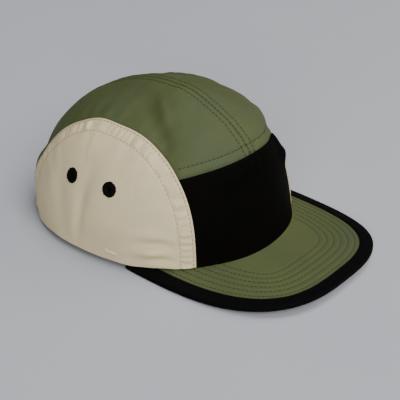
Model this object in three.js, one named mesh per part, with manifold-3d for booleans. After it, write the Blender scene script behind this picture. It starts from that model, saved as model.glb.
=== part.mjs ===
// A sewn five-panel camp cap: a front panel, two top panels that meet on a ridge seam, two arched side
// panels, a stiff peak with a bound edge, a sweatband, embroidered eyelets, and a strap across the back opening.
// Millimetres, +Z up. The peak points to -Y and the wearer's left is +X. The cap rests on z = 0.
import * as THREE from "three";
import { mergeVertices } from "three/addons/utils/BufferGeometryUtils.js";
import Module from "manifold-3d";

const wasm = await Module();
wasm.setup();

// Rim and crown
const RIM_HALF_WIDTH = 84;
const RIM_FRONT = 103.5; // from the crown's centre forward to the front panel's hem
const RIM_BACK = 91; // from the crown's centre back to the hem
const RIM_SQUARENESS = 2.15; // 2 is an ellipse
const CROWN_TOP = 104.5; // height of the apex
const APEX_FORWARD = 15; // the crown's highest point lies this far in front of its centre
const SIDE_HEM_HEIGHT = 4.6; // the side hem, carried by the peak's rear corners
const BACK_HEM_HEIGHT = 0.8; // the hem sags to this height beside the back opening
const SAG_START = 22; // from the crown's centre back to where the hem begins to sag
const SAG_END = 60;
const FOLD_DEPTH = 4.6; // the deepest dent in the crown

// Cloth, tape and gaps
const CLOTH = 1.2;
const TAPE = 0.6; // folded binding tape
const GAP = 0.3; // between neighbouring pieces
const CURVE_EASE = 0.6; // a flange of tape or thread stands off curved cloth by this much
const SIDE_PROUD = 0.5; // the side panels are lapped over their neighbours by this much
const SEAM_RADIUS = 60; // radius that turns a seam gap into a share of the arch

// Seams
const TOP_SEAM_STATION = 0.548; // where the front panel's top seam crosses the centre line
const ARCH_MIDDLE = 92; // degrees round from the front
const ARCH_FRONT_SPAN = 59.2;
const ARCH_REAR_SPAN = 48;
const ARCH_TOP_STATION = 0.357;
const ARCH_FRONT_SQUARENESS = 3;
const ARCH_REAR_SQUARENESS = 2.55;

// Peak
const PEAK_HALF_WIDTH = 78.2;
const PEAK_WIDEST = 54.5; // the peak is widest this far in front of the crown's centre
const PEAK_LENGTH = 111.5; // from there to its front edge
const PEAK_TUCK = 60; // half-length of the curve that takes its sides back under the crown
const PEAK_END = 41; // its rear ends lie this far in front of the crown's centre
const PEAK_SQUARENESS = 2.88;
const PEAK_THICKNESS = 1.6;
const PEAK_ARCH = 6; // the peak's middle stands this much higher than its sides
const PEAK_ARCH_FLATNESS = 3.6; // 2 is a parabola
const PEAK_SEAM_INSET = 5; // the peak runs this far in under the crown's hem
const PEAK_SEAM_LIFT = 0.8; // the hem stands this far above the peak
const PEAK_TAPE_WIDTH = 9.8;
const TAPE_STEP_LENGTH = 8; // the hem comes down off the peak's tape over this length

// Sweatband, eyelets, back opening, strap and clasp
const BAND_THICKNESS = 1.2;
const BAND_TOP_STATION = 0.8;
const BAND_SHOW = 0.8; // the sweatband reaches this far below the side and back hem
const EYELET_OUTER_RADIUS = 5.5;
const EYELET_HOLE_RADIUS = 1.6;
const EYELET_CLOTH_RADIUS = 3.4; // hole in the cloth that the stitches wrap
const EYELET_FLANGE = 0.7;
const EYELET_STATION = 0.645;
const EYELET_ANGLES = { front: 72.5, rear: 97.5 };
const OPENING_HALF_ANGLE = 27; // degrees either side of the centre back
const OPENING_TOP_STATION = 0.66;
const OPENING_SQUARENESS = 2.2;
const OPENING_TAPE_WIDTH = 6;
const STRAP_THICKNESS = 1.4;
const STRAP_STATION = 0.965; // its lower edge
const STRAP_WIDTH = 20;
const STRAP_TUCK = 12; // degrees that each end runs on behind the panels
const STRAP_BAND_SPACE = 1; // degrees between a strap end and the sweatband's end
const CLASP_LENGTH = 12;
const CLASP_WALL = 2.2;
const CLASP_SLACK = 0.6;

// Grid steps. The arch has ARCH_STEPS from hem to hem, and the front panel takes the first FRONT_ROWS of them.
const ARCH_STEPS = 40;
const FRONT_ROWS = 8;
const HALF_COLUMNS = 10; // from the centre line to an arch
const OPENING_STEPS = 8; // those of the HALF_COLUMNS that lie on the opening's edge
const PEAK_COLUMNS = 40;
const PEAK_ROWS = 5;
const BAND_COLUMNS = 60;
const BAND_ROWS = 5;
const STRAP_COLUMNS = 16;
const WELL_STEPS = 120;
const EYELET_STEPS = 18;

// The crown's outline from the apex (first row) to the hem (last row), at even stations. "out" is a share of the
// way from the apex to the rim and "up" a share of the crown's height, on the front, side and back meridians.
const MERIDIANS = [
  { frontOut: 0.0, frontUp: 1.0, sideOut: 0.0, sideUp: 1.0, backOut: 0.0, backUp: 1.0 },
  { frontOut: 0.165, frontUp: 0.998, sideOut: 0.159, sideUp: 0.974, backOut: 0.19, backUp: 0.981 },
  { frontOut: 0.323, frontUp: 0.963, sideOut: 0.319, sideUp: 0.926, backOut: 0.371, backUp: 0.924 },
  { frontOut: 0.475, frontUp: 0.902, sideOut: 0.479, sideUp: 0.87, backOut: 0.539, backUp: 0.844 },
  { frontOut: 0.617, frontUp: 0.825, sideOut: 0.632, sideUp: 0.801, backOut: 0.687, backUp: 0.746 },
  { frontOut: 0.744, frontUp: 0.726, sideOut: 0.768, sideUp: 0.696, backOut: 0.806, backUp: 0.62 },
  { frontOut: 0.83, frontUp: 0.601, sideOut: 0.872, sideUp: 0.554, backOut: 0.893, backUp: 0.478 },
  { frontOut: 0.877, frontUp: 0.456, sideOut: 0.941, sideUp: 0.419, backOut: 0.949, backUp: 0.357 },
  { frontOut: 0.925, frontUp: 0.312, sideOut: 0.978, sideUp: 0.277, backOut: 0.981, backUp: 0.238 },
  { frontOut: 0.968, frontUp: 0.158, sideOut: 0.994, sideUp: 0.137, backOut: 0.999, backUp: 0.121 },
  { frontOut: 1.0, frontUp: 0.0, sideOut: 1.0, sideUp: 0.0, backOut: 1.0, backUp: 0.0 },
];

// Dents and folds in the cloth: middle, in degrees round from the front and station, the half-length and
// half-width as shares of a meridian, the turn of the long way, and the height (a dent's is negative) as a share
// of FOLD_DEPTH.
const FOLDS = [
  { name: "puff over the left arch", around: 92, station: 0.37, long: 0.12, wide: 0.08, turn: 88, height: 0.2 },
  { name: "dip behind the left arch", around: 135, station: 0.265, long: 0.15, wide: 0.08, turn: 45, height: -0.37 },
  { name: "ridge over the left corner", around: 48, station: 0.47, long: 0.07, wide: 0.03, turn: -44, height: 0.2 },
  { name: "notch at the left corner", around: 44, station: 0.59, long: 0.09, wide: 0.05, turn: -44, height: -0.65 },
  { name: "dip by the left corner", around: 33, station: 0.54, long: 0.08, wide: 0.045, turn: -35, height: -0.6 },
  { name: "bulge under the left corner", around: 33, station: 0.69, long: 0.08, wide: 0.04, turn: -28, height: 0.7 },
  { name: "crease under the top seam", around: 8, station: 0.64, long: 0.26, wide: 0.035, turn: -8, height: -0.35 },
  { name: "hollow beside the right arch", around: -48, station: 0.42, long: 0.12, wide: 0.05, turn: -55, height: -0.5 },
  { name: "ridge over the right corner", around: -24, station: 0.42, long: 0.16, wide: 0.06, turn: -20, height: 0.3 },
  { name: "slack in the right rear", around: -141, station: 0.78, long: 0.1, wide: 0.09, turn: 38, height: 0.65 },
  { name: "notch in the right rear", around: -146, station: 0.645, long: 0.07, wide: 0.04, turn: -34, height: -0.62 },
  { name: "slack in the left rear", around: 142, station: 0.7, long: 0.07, wide: 0.06, turn: -45, height: 0.6 },
  { name: "fold by the right rear eyelet", around: -104, station: 0.74, long: 0.2, wide: 0.05, turn: -8, height: -0.25 },
  { name: "fold by the right front eyelet", around: -82, station: 0.76, long: 0.17, wide: 0.05, turn: 6, height: -0.2 },
  { name: "fold in the left side", around: 86, station: 0.74, long: 0.2, wide: 0.05, turn: 0, height: -0.25 },
  { name: "upper wrinkle in the right hem", around: -49, station: 0.855, long: 0.11, wide: 0.022, turn: 49, height: -0.24 },
  { name: "lower wrinkle in the right hem", around: -47, station: 0.945, long: 0.08, wide: 0.018, turn: 47, height: -0.2 },
];

const radians = THREE.MathUtils.degToRad;
const lerp = THREE.MathUtils.lerp;
const smoothstep = THREE.MathUtils.smoothstep;
const sideSign = { right: -1, left: 1 };

// Distance from the middle to a squared ellipse, along a direction in radians from its second axis.
function squaredRadius(direction, halfAcross, halfAlong, squareness) {
  const across = Math.abs(Math.sin(direction) / halfAcross) ** squareness;
  const along = Math.abs(Math.cos(direction) / halfAlong) ** squareness;
  return (across + along) ** (-1 / squareness);
}

// Half-width of a squared ellipse at a distance along it from its widest line.
function squaredHalfWidth(along, halfAcross, halfAlong, squareness) {
  return halfAcross * (1 - (along / halfAlong) ** squareness) ** (1 / squareness);
}

function rimPoint(around) {
  const length = Math.cos(around) > 0 ? RIM_FRONT : RIM_BACK;
  const radius = squaredRadius(around, RIM_HALF_WIDTH, length, RIM_SQUARENESS);
  return { x: radius * Math.sin(around), y: -radius * Math.cos(around) };
}

function peakMiddleHeight(x) {
  const resting = PEAK_THICKNESS / 2 + GAP + TAPE;
  return resting + PEAK_ARCH * (1 - Math.abs(x / PEAK_HALF_WIDTH) ** PEAK_ARCH_FLATNESS);
}

// How far in front of the crown's centre the rim crosses the inner edge of the peak's tape.
function tapeLeavesRim() {
  const across = PEAK_HALF_WIDTH - PEAK_TAPE_WIDTH - CLOTH;
  return squaredHalfWidth(across, RIM_FRONT, RIM_HALF_WIDTH, RIM_SQUARENESS);
}

// The hem sags behind, lies on the peak in front, and runs level between.
function hemHeight(around) {
  const { x, y } = rimPoint(around);
  const sag = (SIDE_HEM_HEIGHT - BACK_HEM_HEIGHT) * smoothstep(y, SAG_START, SAG_END);
  const onTape = 1 - smoothstep(-y, tapeLeavesRim(), tapeLeavesRim() + TAPE_STEP_LENGTH);
  const onPeak = peakMiddleHeight(x) + PEAK_THICKNESS / 2 + PEAK_SEAM_LIFT + (TAPE + GAP) * onTape;
  const peakShare = smoothstep(-y, 0, PEAK_END);
  return Math.max(SIDE_HEM_HEIGHT - sag, lerp(0, onPeak, peakShare));
}

// Catmull-Rom through one column of MERIDIANS. The apex is mirrored, so that the crown is smooth over it.
function meridian(column, station) {
  const last = MERIDIANS.length - 1;
  const i = Math.min(Math.floor(station * last), last - 1);
  const t = station * last - i;
  const value = (row) => {
    if (row < 0) return column.endsWith("Up") ? MERIDIANS[-row][column] : -MERIDIANS[-row][column];
    if (row > last) return 2 * MERIDIANS[last][column] - MERIDIANS[last - 1][column];
    return MERIDIANS[row][column];
  };
  const [p, q, r, s] = [value(i - 1), value(i), value(i + 1), value(i + 2)];
  return q + 0.5 * t * (r - p + t * (2 * p - 5 * q + 4 * r - s + t * (3 * (q - r) + s - p)));
}

// A place on the crown is a point of a disc: its direction is the way round and its radius the station.
function place(aroundDegrees, station) {
  const around = radians(aroundDegrees);
  return { a: station * Math.sin(around), b: station * Math.cos(around) };
}

function baseCrown({ a, b }) {
  const station = Math.hypot(a, b);
  const around = Math.atan2(a, b);
  const share = Math.cos(around) ** 2;
  const end = Math.cos(around) > 0 ? "front" : "back";
  const out = lerp(meridian("sideOut", station), meridian(end + "Out", station), share);
  const up = lerp(meridian("sideUp", station), meridian(end + "Up", station), share);
  const rim = rimPoint(around);
  const x = rim.x * out;
  const y = -APEX_FORWARD + (rim.y + APEX_FORWARD) * out;
  const level = lerp(SIDE_HEM_HEIGHT, CROWN_TOP, up);
  return new THREE.Vector3(x, y, level + (hemHeight(around) - SIDE_HEM_HEIGHT) * station ** 3);
}

function normalOf(face, { a, b }) {
  const step = 0.004;
  const across = face({ a: a + step, b }).sub(face({ a: a - step, b }));
  const along = face({ a, b: b + step }).sub(face({ a, b: b - step }));
  return along.cross(across).normalize();
}

function foldHeight({ a, b }) {
  let height = 0;
  for (const fold of FOLDS) {
    const middle = place(fold.around, fold.station);
    const turn = radians(fold.turn);
    const across = a - middle.a;
    const along = b - middle.b;
    const p = (across * Math.cos(turn) + along * Math.sin(turn)) / fold.long;
    const q = (along * Math.cos(turn) - across * Math.sin(turn)) / fold.wide;
    height += FOLD_DEPTH * fold.height * Math.exp(-p * p - q * q);
  }
  return height;
}

// A point of the crown's outer face, moved out along its normal by lift.
function crownPoint(spot, lift = 0) {
  return baseCrown(spot).addScaledVector(normalOf(baseCrown, spot), lift + foldHeight(spot));
}

// Turns an indexed geometry so that its faces point out.
function facingOut(geometry) {
  const position = geometry.getAttribute("position");
  const index = geometry.index.array;
  const corners = [new THREE.Vector3(), new THREE.Vector3(), new THREE.Vector3()];
  let volume = 0;
  for (let i = 0; i < index.length; i += 3) {
    corners.forEach((corner, k) => corner.fromBufferAttribute(position, index[i + k]));
    volume += corners[0].dot(corners[1].cross(corners[2]));
  }
  if (volume < 0) {
    for (let i = 0; i < index.length; i += 3) [index[i + 1], index[i + 2]] = [index[i + 2], index[i + 1]];
  }
  geometry.computeVertexNormals();
  return geometry;
}

function indexedGeometry(points, faces) {
  const geometry = new THREE.BufferGeometry().setFromPoints(points);
  geometry.setIndex(faces);
  return facingOut(geometry);
}

// A closed wall between two faces, each given as a function of a column and a row.
function wall(columns, rows, outerFace, innerFace) {
  const points = [];
  const faces = [];
  const id = (side, i, j) => (side * (columns + 1) + i) * (rows + 1) + j;
  for (const face of [outerFace, innerFace]) {
    for (let i = 0; i <= columns; i++) for (let j = 0; j <= rows; j++) points.push(face(i, j));
  }
  const quad = (p, q, r, s) => faces.push(p, q, r, p, r, s);
  for (let i = 0; i < columns; i++) {
    for (let j = 0; j < rows; j++) {
      quad(id(0, i, j), id(0, i + 1, j), id(0, i + 1, j + 1), id(0, i, j + 1));
      quad(id(1, i, j), id(1, i, j + 1), id(1, i + 1, j + 1), id(1, i + 1, j));
    }
    quad(id(0, i, 0), id(1, i, 0), id(1, i + 1, 0), id(0, i + 1, 0));
    quad(id(0, i, rows), id(0, i + 1, rows), id(1, i + 1, rows), id(1, i, rows));
  }
  for (let j = 0; j < rows; j++) {
    quad(id(0, 0, j), id(0, 0, j + 1), id(1, 0, j + 1), id(1, 0, j));
    quad(id(0, columns, j), id(1, columns, j), id(1, columns, j + 1), id(0, columns, j + 1));
  }
  return indexedGeometry(points, faces);
}

// A wall on the crown whose places come from a function of column and row.
function crownWall(columns, rows, spotAt, lift = 0, thickness = CLOTH) {
  return wall(
    columns,
    rows,
    (i, j) => crownPoint(spotAt(i, j), lift),
    (i, j) => crownPoint(spotAt(i, j), lift - thickness),
  );
}

// A profile of { across, up } points swept through frames of { at, across, up }, with flat ends.
function sweep(frames, profile) {
  const count = profile.length;
  const points = frames.flatMap((frame) =>
    profile.map(({ across, up }) =>
      frame.at.clone().addScaledVector(frame.across, across).addScaledVector(frame.up, up),
    ),
  );
  const faces = [];
  for (let i = 0; i + 1 < frames.length; i++) {
    for (let j = 0; j < count; j++) {
      const k = (j + 1) % count;
      const [p, q, r, s] = [i * count + j, (i + 1) * count + j, (i + 1) * count + k, i * count + k];
      faces.push(p, q, r, p, r, s);
    }
  }
  const outline = profile.map(({ across, up }) => new THREE.Vector2(across, up));
  const far = (frames.length - 1) * count;
  for (const [p, q, r] of THREE.ShapeUtils.triangulateShape(outline, [])) {
    faces.push(p, q, r, far + p, far + r, far + q);
  }
  return indexedGeometry(points, faces);
}

// Folded tape: a channel of tape round the edge of cloth whose outer face is at up = 0.
function tapeProfile(width, clothThickness, ease) {
  const edge = -GAP - TAPE;
  const under = -clothThickness - ease;
  return [
    { across: width, up: ease + TAPE },
    { across: edge, up: ease + TAPE },
    { across: edge, up: under - TAPE },
    { across: width, up: under - TAPE },
    { across: width, up: under },
    { across: -GAP, up: under },
    { across: -GAP, up: ease },
    { across: width, up: ease },
  ];
}

function solidOf(geometry) {
  const bare = geometry.clone();
  bare.deleteAttribute("normal");
  bare.deleteAttribute("uv");
  const merged = mergeVertices(bare, 1e-4);
  const mesh = { numProp: 3, vertProperties: merged.attributes.position.array, triVerts: merged.index.array };
  return new wasm.Manifold(new wasm.Mesh({ ...mesh, triVerts: new Uint32Array(mesh.triVerts) }));
}

function geometryOf(solid) {
  const mesh = solid.getMesh();
  const geometry = new THREE.BufferGeometry();
  geometry.setAttribute("position", new THREE.BufferAttribute(mesh.vertProperties, 3));
  geometry.setIndex(new THREE.BufferAttribute(mesh.triVerts, 1));
  geometry.computeVertexNormals();
  return geometry;
}

// A place near one side's arch. The direction runs from 0 at the front hem over the top to pi at the rear hem,
// and reach is 0 at the hem's middle and 1 on the seam.
function archPlace(side, direction, reach) {
  const forward = Math.cos(direction) > 0;
  const squareness = forward ? ARCH_FRONT_SQUARENESS : ARCH_REAR_SQUARENESS;
  const span = forward ? ARCH_FRONT_SPAN : ARCH_REAR_SPAN;
  const radius = reach * squaredRadius(direction, 1, 1, squareness);
  const around = ARCH_MIDDLE - span * radius * Math.cos(direction);
  const station = 1 - (1 - ARCH_TOP_STATION) * radius * Math.sin(direction);
  return place(sideSign[side] * around, station);
}

const seamReach = 1 + GAP / SEAM_RADIUS; // the neighbours' side of the arched seam
const archDirection = (step) => (Math.PI * step) / ARCH_STEPS;
const stationOf = ({ a, b }) => Math.hypot(a, b);
const aroundOf = ({ a, b }) => THREE.MathUtils.radToDeg(Math.atan2(a, b));

// The front panel's top seam, from the centre line (share 0) to the arch (share 1). gap moves it towards the hem.
function topSeamPlace(side, share, gap) {
  const corner = archPlace(side, archDirection(FRONT_ROWS), seamReach);
  const station = lerp(TOP_SEAM_STATION, stationOf(corner), share ** 2);
  return place(aroundOf(corner) * share, station + gap / (CROWN_TOP + RIM_FRONT - APEX_FORWARD));
}

// A side panel. Its grid is a square bent onto a half disc, so that its outer rows run along the arch.
function sidePanel(side) {
  const half = ARCH_STEPS / 4;
  const spotAt = (i, j) => {
    const across = Math.SQRT2 * Math.cos(archDirection(half + i));
    const up = Math.SQRT2 * Math.sin(archDirection(j));
    const u = across * Math.sqrt(1 - up ** 2 / 2);
    const v = up * Math.sqrt(1 - across ** 2 / 2);
    return archPlace(side, Math.atan2(v, u), Math.hypot(u, v));
  };
  let panel = solidOf(crownWall(2 * half, half, spotAt, SIDE_PROUD));
  for (const end of Object.keys(EYELET_ANGLES)) {
    const cutter = new THREE.CylinderGeometry(
      EYELET_CLOTH_RADIUS,
      EYELET_CLOTH_RADIUS,
      8 * CLOTH,
      EYELET_STEPS,
    );
    panel = panel.subtract(solidOf(cutter.applyMatrix4(eyeletFrame(side, end))));
  }
  return geometryOf(panel);
}

// Carries +Y to the side panel's normal and the origin to the middle of its wall, at an eyelet.
function eyeletFrame(side, end) {
  const spot = place(sideSign[side] * EYELET_ANGLES[end], EYELET_STATION);
  const turn = new THREE.Quaternion().setFromUnitVectors(new THREE.Vector3(0, 1, 0), normalOf(crownPoint, spot));
  const middle = crownPoint(spot, SIDE_PROUD - CLOTH / 2);
  return new THREE.Matrix4().compose(middle, turn, new THREE.Vector3(1, 1, 1));
}

// An eyelet: a ring of thread that grips the cloth in a groove.
function eyelet(side, end) {
  const inner = CLOTH / 2 + CURVE_EASE;
  const outer = inner + EYELET_FLANGE;
  const ease = EYELET_FLANGE / 2;
  const groove = EYELET_CLOTH_RADIUS - GAP;
  const profile = [
    [EYELET_HOLE_RADIUS, -inner],
    [EYELET_HOLE_RADIUS + ease, -outer],
    [EYELET_OUTER_RADIUS - ease, -outer],
    [EYELET_OUTER_RADIUS, -inner],
    [groove, -inner],
    [groove, inner],
    [EYELET_OUTER_RADIUS, inner],
    [EYELET_OUTER_RADIUS - ease, outer],
    [EYELET_HOLE_RADIUS + ease, outer],
    [EYELET_HOLE_RADIUS, inner],
    [EYELET_HOLE_RADIUS, -inner],
  ].map(([radius, height]) => new THREE.Vector2(radius, height));
  const ring = new THREE.LatheGeometry(profile, EYELET_STEPS);
  return geometryOf(solidOf(ring)).applyMatrix4(eyeletFrame(side, end));
}

// The front panel, from one arch across the centre line to the other.
function frontPanel() {
  const spotAt = (i, j) => {
    const side = i < HALF_COLUMNS ? "right" : "left";
    const share = Math.abs(i / HALF_COLUMNS - 1);
    const edge = archPlace(side, archDirection(j), seamReach);
    const corner = topSeamPlace(side, 1, 0);
    const climb = (1 - stationOf(edge)) / (1 - stationOf(corner));
    const station = lerp(1, stationOf(topSeamPlace(side, share, GAP)), climb);
    return place(aroundOf(edge) * share, station);
  };
  return crownWall(2 * HALF_COLUMNS, FRONT_ROWS, spotAt);
}

// The back opening's edge: share 0 is its top, on the centre line, and 1 its foot at the hem.
function openingPlace(side, share) {
  const direction = ((1 - share) * Math.PI) / 2;
  const radius = squaredRadius(direction, 1, 1, OPENING_SQUARENESS);
  const around = 180 - OPENING_HALF_ANGLE * radius * Math.cos(direction);
  const station = 1 - (1 - OPENING_TOP_STATION) * radius * Math.sin(direction);
  return place(sideSign[side] * around, station);
}

// A top panel, blended between its four edges: ridge seam, arch, top seam, and the opening with the hem beside it.
function topPanel(side) {
  const rows = ARCH_STEPS - FRONT_ROWS;
  const offCentre = (sideSign[side] * GAP) / 2 / RIM_HALF_WIDTH;
  const shift = ({ a, b }) => ({ a: a + offCentre, b });
  const mix = (p, q, share) => ({ a: lerp(p.a, q.a, share), b: lerp(p.b, q.b, share) });
  const ridge = (u) => ({ a: offCentre, b: lerp(TOP_SEAM_STATION, -OPENING_TOP_STATION, u) });
  const arch = (row) => archPlace(side, archDirection(FRONT_ROWS + row), seamReach);
  const front = (v) => mix(shift(topSeamPlace(side, v, 0)), topSeamPlace(side, v, 0), v);
  const back = (i) => {
    const foot = openingPlace(side, 1);
    const corner = arch(rows);
    if (i >= OPENING_STEPS) return mix(foot, corner, (i - OPENING_STEPS) / (HALF_COLUMNS - OPENING_STEPS));
    const share = i / OPENING_STEPS;
    return mix(shift(openingPlace(side, share)), openingPlace(side, share), share);
  };
  const spotAt = (i, j) => {
    const v = i / HALF_COLUMNS;
    const u = j / rows;
    const between = mix(ridge(u), arch(j), v);
    const ends = mix(front(v), back(i), u);
    const corners = mix(mix(ridge(0), arch(0), v), mix(ridge(1), arch(rows), v), u);
    return { a: between.a + ends.a - corners.a, b: between.b + ends.b - corners.b };
  };
  return crownWall(HALF_COLUMNS, rows, spotAt);
}

// A point of the peak's outer edge, moved in by inset. The direction is 0 straight ahead.
function peakEdge(direction, inset) {
  const at = (angle) => {
    const halfAlong = Math.cos(angle) > 0 ? PEAK_LENGTH : PEAK_TUCK;
    const radius = squaredRadius(angle, PEAK_HALF_WIDTH, halfAlong, PEAK_SQUARENESS);
    return new THREE.Vector2(radius * Math.sin(angle), -PEAK_WIDEST - radius * Math.cos(angle));
  };
  const step = 1e-3;
  const tangent = at(direction + step).sub(at(direction - step)).normalize();
  const inward = new THREE.Vector2(-tangent.y, tangent.x);
  return { at: at(direction).addScaledVector(inward, inset), inward };
}

// The direction of the outer edge's rear end.
function peakEndDirection() {
  const back = PEAK_WIDEST - PEAK_END;
  return Math.PI / 2 + Math.atan2(back, squaredHalfWidth(back, PEAK_HALF_WIDTH, PEAK_TUCK, PEAK_SQUARENESS));
}

function onPeak(x, y, lift) {
  return new THREE.Vector3(x, y, peakMiddleHeight(x) + lift);
}

// The peak board in its cloth, from the crown's seam to the inside of the tape.
function peak() {
  const seamEnd = squaredHalfWidth(PEAK_END, RIM_HALF_WIDTH, RIM_FRONT, RIM_SQUARENESS);
  const seamAngle = Math.atan2(seamEnd, PEAK_END);
  const surface = (lift) => (i, j) => {
    const turn = (2 * i) / PEAK_COLUMNS - 1;
    const seam = rimPoint(turn * seamAngle);
    const distance = Math.hypot(seam.x, seam.y);
    const start = new THREE.Vector2(seam.x, seam.y).multiplyScalar(1 - PEAK_SEAM_INSET / distance);
    const edge = peakEdge(turn * peakEndDirection(), TAPE + GAP).at;
    if (j === PEAK_ROWS) return onPeak(edge.x, edge.y, lift);
    const inset = Math.min(PEAK_TAPE_WIDTH, TAPE + GAP + start.distanceTo(edge) / 2);
    const spot = start.lerp(peakEdge(turn * peakEndDirection(), inset).at, j / (PEAK_ROWS - 1));
    return onPeak(spot.x, spot.y, lift);
  };
  return wall(PEAK_COLUMNS, PEAK_ROWS, surface(PEAK_THICKNESS / 2), surface(-PEAK_THICKNESS / 2));
}

// The tape round the peak's edge, cut off where it meets the inside of the crown's seam.
function peakBinding() {
  const frames = [];
  for (let i = 0; i <= PEAK_COLUMNS; i++) {
    const { at, inward } = peakEdge(((2 * i) / PEAK_COLUMNS - 1) * peakEndDirection(), TAPE + GAP);
    const reach = PEAK_TAPE_WIDTH - TAPE - GAP;
    const rise = (peakMiddleHeight(at.x + inward.x * reach) - peakMiddleHeight(at.x)) / reach;
    frames.push({
      at: onPeak(at.x, at.y, PEAK_THICKNESS / 2),
      across: new THREE.Vector3(inward.x, inward.y, rise),
      up: new THREE.Vector3(0, 0, 1),
    });
  }
  const tape = sweep(frames, tapeProfile(PEAK_TAPE_WIDTH - TAPE - GAP, PEAK_THICKNESS, GAP));
  const well = new THREE.Shape();
  for (let i = 0; i < WELL_STEPS; i++) {
    const { x, y } = rimPoint((2 * Math.PI * i) / WELL_STEPS);
    const keep = 1 - PEAK_SEAM_INSET / Math.hypot(x, y);
    if (i) well.lineTo(x * keep, y * keep);
    else well.moveTo(x * keep, y * keep);
  }
  const depth = 4 * (PEAK_ARCH + PEAK_THICKNESS + TAPE);
  const cutter = new THREE.ExtrudeGeometry(well, { depth, bevelEnabled: false }).translate(0, 0, -depth / 2);
  const tapes = solidOf(tape).subtract(solidOf(cutter)).decompose();
  return geometryOf(tapes.sort((p, q) => q.volume() - p.volume())[0]);
}

const strapEnd = 180 - OPENING_HALF_ANGLE - STRAP_TUCK;

// The sweatband, inside the panels from one strap end round the front to the other.
function sweatband() {
  const end = strapEnd - STRAP_BAND_SPACE;
  const surface = (lift) => (i, j) => {
    const around = lerp(-end, end, i / BAND_COLUMNS);
    const station = lerp(1, BAND_TOP_STATION, Math.max(j - 1, 0) / (BAND_ROWS - 1));
    const point = crownPoint(place(around, station), lift);
    if (j > 0) return point;
    const overPeak = smoothstep(-point.y, 0, PEAK_END);
    return point.setZ(hemHeight(radians(around)) - BAND_SHOW * (1 - overPeak));
  };
  const outer = -CLOTH - GAP;
  return wall(BAND_COLUMNS, BAND_ROWS, surface(outer), surface(outer - BAND_THICKNESS));
}

// The tape round the back opening's edge.
function openingBinding() {
  const frames = [];
  for (let i = -OPENING_STEPS; i <= OPENING_STEPS; i++) {
    const share = i / OPENING_STEPS;
    const spotNear = (offset) => {
      const moved = Math.min(Math.abs(share) + offset, 1 + offset);
      return openingPlace(share < 0 ? "right" : "left", moved);
    };
    const step = 0.01;
    const up = normalOf(crownPoint, spotNear(0));
    const side = share < 0 ? -1 : 1;
    const along = crownPoint(spotNear(step)).sub(crownPoint(spotNear(0))).multiplyScalar(side).normalize();
    frames.push({ at: crownPoint(spotNear(0)), across: new THREE.Vector3().crossVectors(along, up), up });
  }
  return sweep(frames, tapeProfile(OPENING_TAPE_WIDTH - TAPE - GAP, CLOTH, CURVE_EASE));
}

const strapLift = -(CLOTH + CURVE_EASE + TAPE + GAP);

// A point of the strap, which leans with the wall that it is sewn to: share 0 is its lower edge and 1 its upper.
function strapPoint(around, share, lift) {
  const low = crownPoint(place(around, STRAP_STATION), lift);
  const up = crownPoint(place(around, OPENING_TOP_STATION), lift).sub(low).normalize();
  return low.addScaledVector(up, STRAP_WIDTH * share);
}

function strap() {
  const surface = (lift) => (i, j) => {
    const around = lerp(strapEnd, 360 - strapEnd, i / STRAP_COLUMNS);
    return strapPoint(around, j, lift);
  };
  return wall(STRAP_COLUMNS, 1, surface(strapLift), surface(strapLift - STRAP_THICKNESS));
}

// The clasp: a plain loop that the strap runs through, at the centre back.
function claspLoop() {
  const rectangle = (halfDepth, halfHeight) => [
    new THREE.Vector2(-halfDepth, -halfHeight),
    new THREE.Vector2(halfDepth, -halfHeight),
    new THREE.Vector2(halfDepth, halfHeight),
    new THREE.Vector2(-halfDepth, halfHeight),
  ];
  const halfDepth = STRAP_THICKNESS / 2 + CLASP_SLACK;
  const halfHeight = STRAP_WIDTH / 2 + CLASP_SLACK;
  const outline = new THREE.Shape(rectangle(halfDepth + CLASP_WALL, halfHeight + CLASP_WALL));
  outline.holes.push(new THREE.Path(rectangle(halfDepth, halfHeight).reverse()));
  const loop = new THREE.ExtrudeGeometry(outline, { depth: CLASP_LENGTH, bevelEnabled: false });
  loop.translate(0, 0, -CLASP_LENGTH / 2);
  const [x, y, z] = [new THREE.Vector3(1, 0, 0), new THREE.Vector3(0, 1, 0), new THREE.Vector3(0, 0, 1)];
  return geometryOf(solidOf(loop)).applyMatrix4(new THREE.Matrix4().makeBasis(y, z, x));
}

const greenCloth = new THREE.MeshStandardMaterial({ color: 0x5a6139, roughness: 0.85, metalness: 0 });
const blackCloth = new THREE.MeshStandardMaterial({ color: 0x111011, roughness: 0.9, metalness: 0 });
const creamCloth = new THREE.MeshStandardMaterial({ color: 0xb8ad96, roughness: 0.8, metalness: 0 });
const blackThread = new THREE.MeshStandardMaterial({ color: 0x0d0d0e, roughness: 0.7, metalness: 0 });
const blackPlastic = new THREE.MeshStandardMaterial({ color: 0x151515, roughness: 0.45, metalness: 0 });

const cap = new THREE.Group();

function add(name, geometry, material) {
  const mesh = new THREE.Mesh(geometry, material);
  mesh.name = name;
  cap.add(mesh);
  return mesh;
}

add("front_panel", frontPanel(), blackCloth);
for (const side of Object.keys(sideSign)) {
  add(`top_panel_${side}`, topPanel(side), greenCloth);
  add(`side_panel_${side}`, sidePanel(side), creamCloth);
  for (const end of Object.keys(EYELET_ANGLES)) add(`eyelet_${side}_${end}`, eyelet(side, end), blackThread);
}
add("peak", peak(), greenCloth);
add("peak_binding", peakBinding(), blackCloth);
add("sweatband", sweatband(), blackCloth);
add("opening_binding", openingBinding(), blackCloth);
add("back_strap", strap(), blackCloth);

const clasp = add("strap_clasp", claspLoop(), blackPlastic);
const strapMiddle = strapPoint(180, 0.5, strapLift - STRAP_THICKNESS / 2);
const strapLean = strapPoint(180, 1, strapLift).sub(strapPoint(180, 0, strapLift));
clasp.rotation.x = -Math.atan2(strapLean.y, strapLean.z);
clasp.position.copy(strapMiddle);

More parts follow.
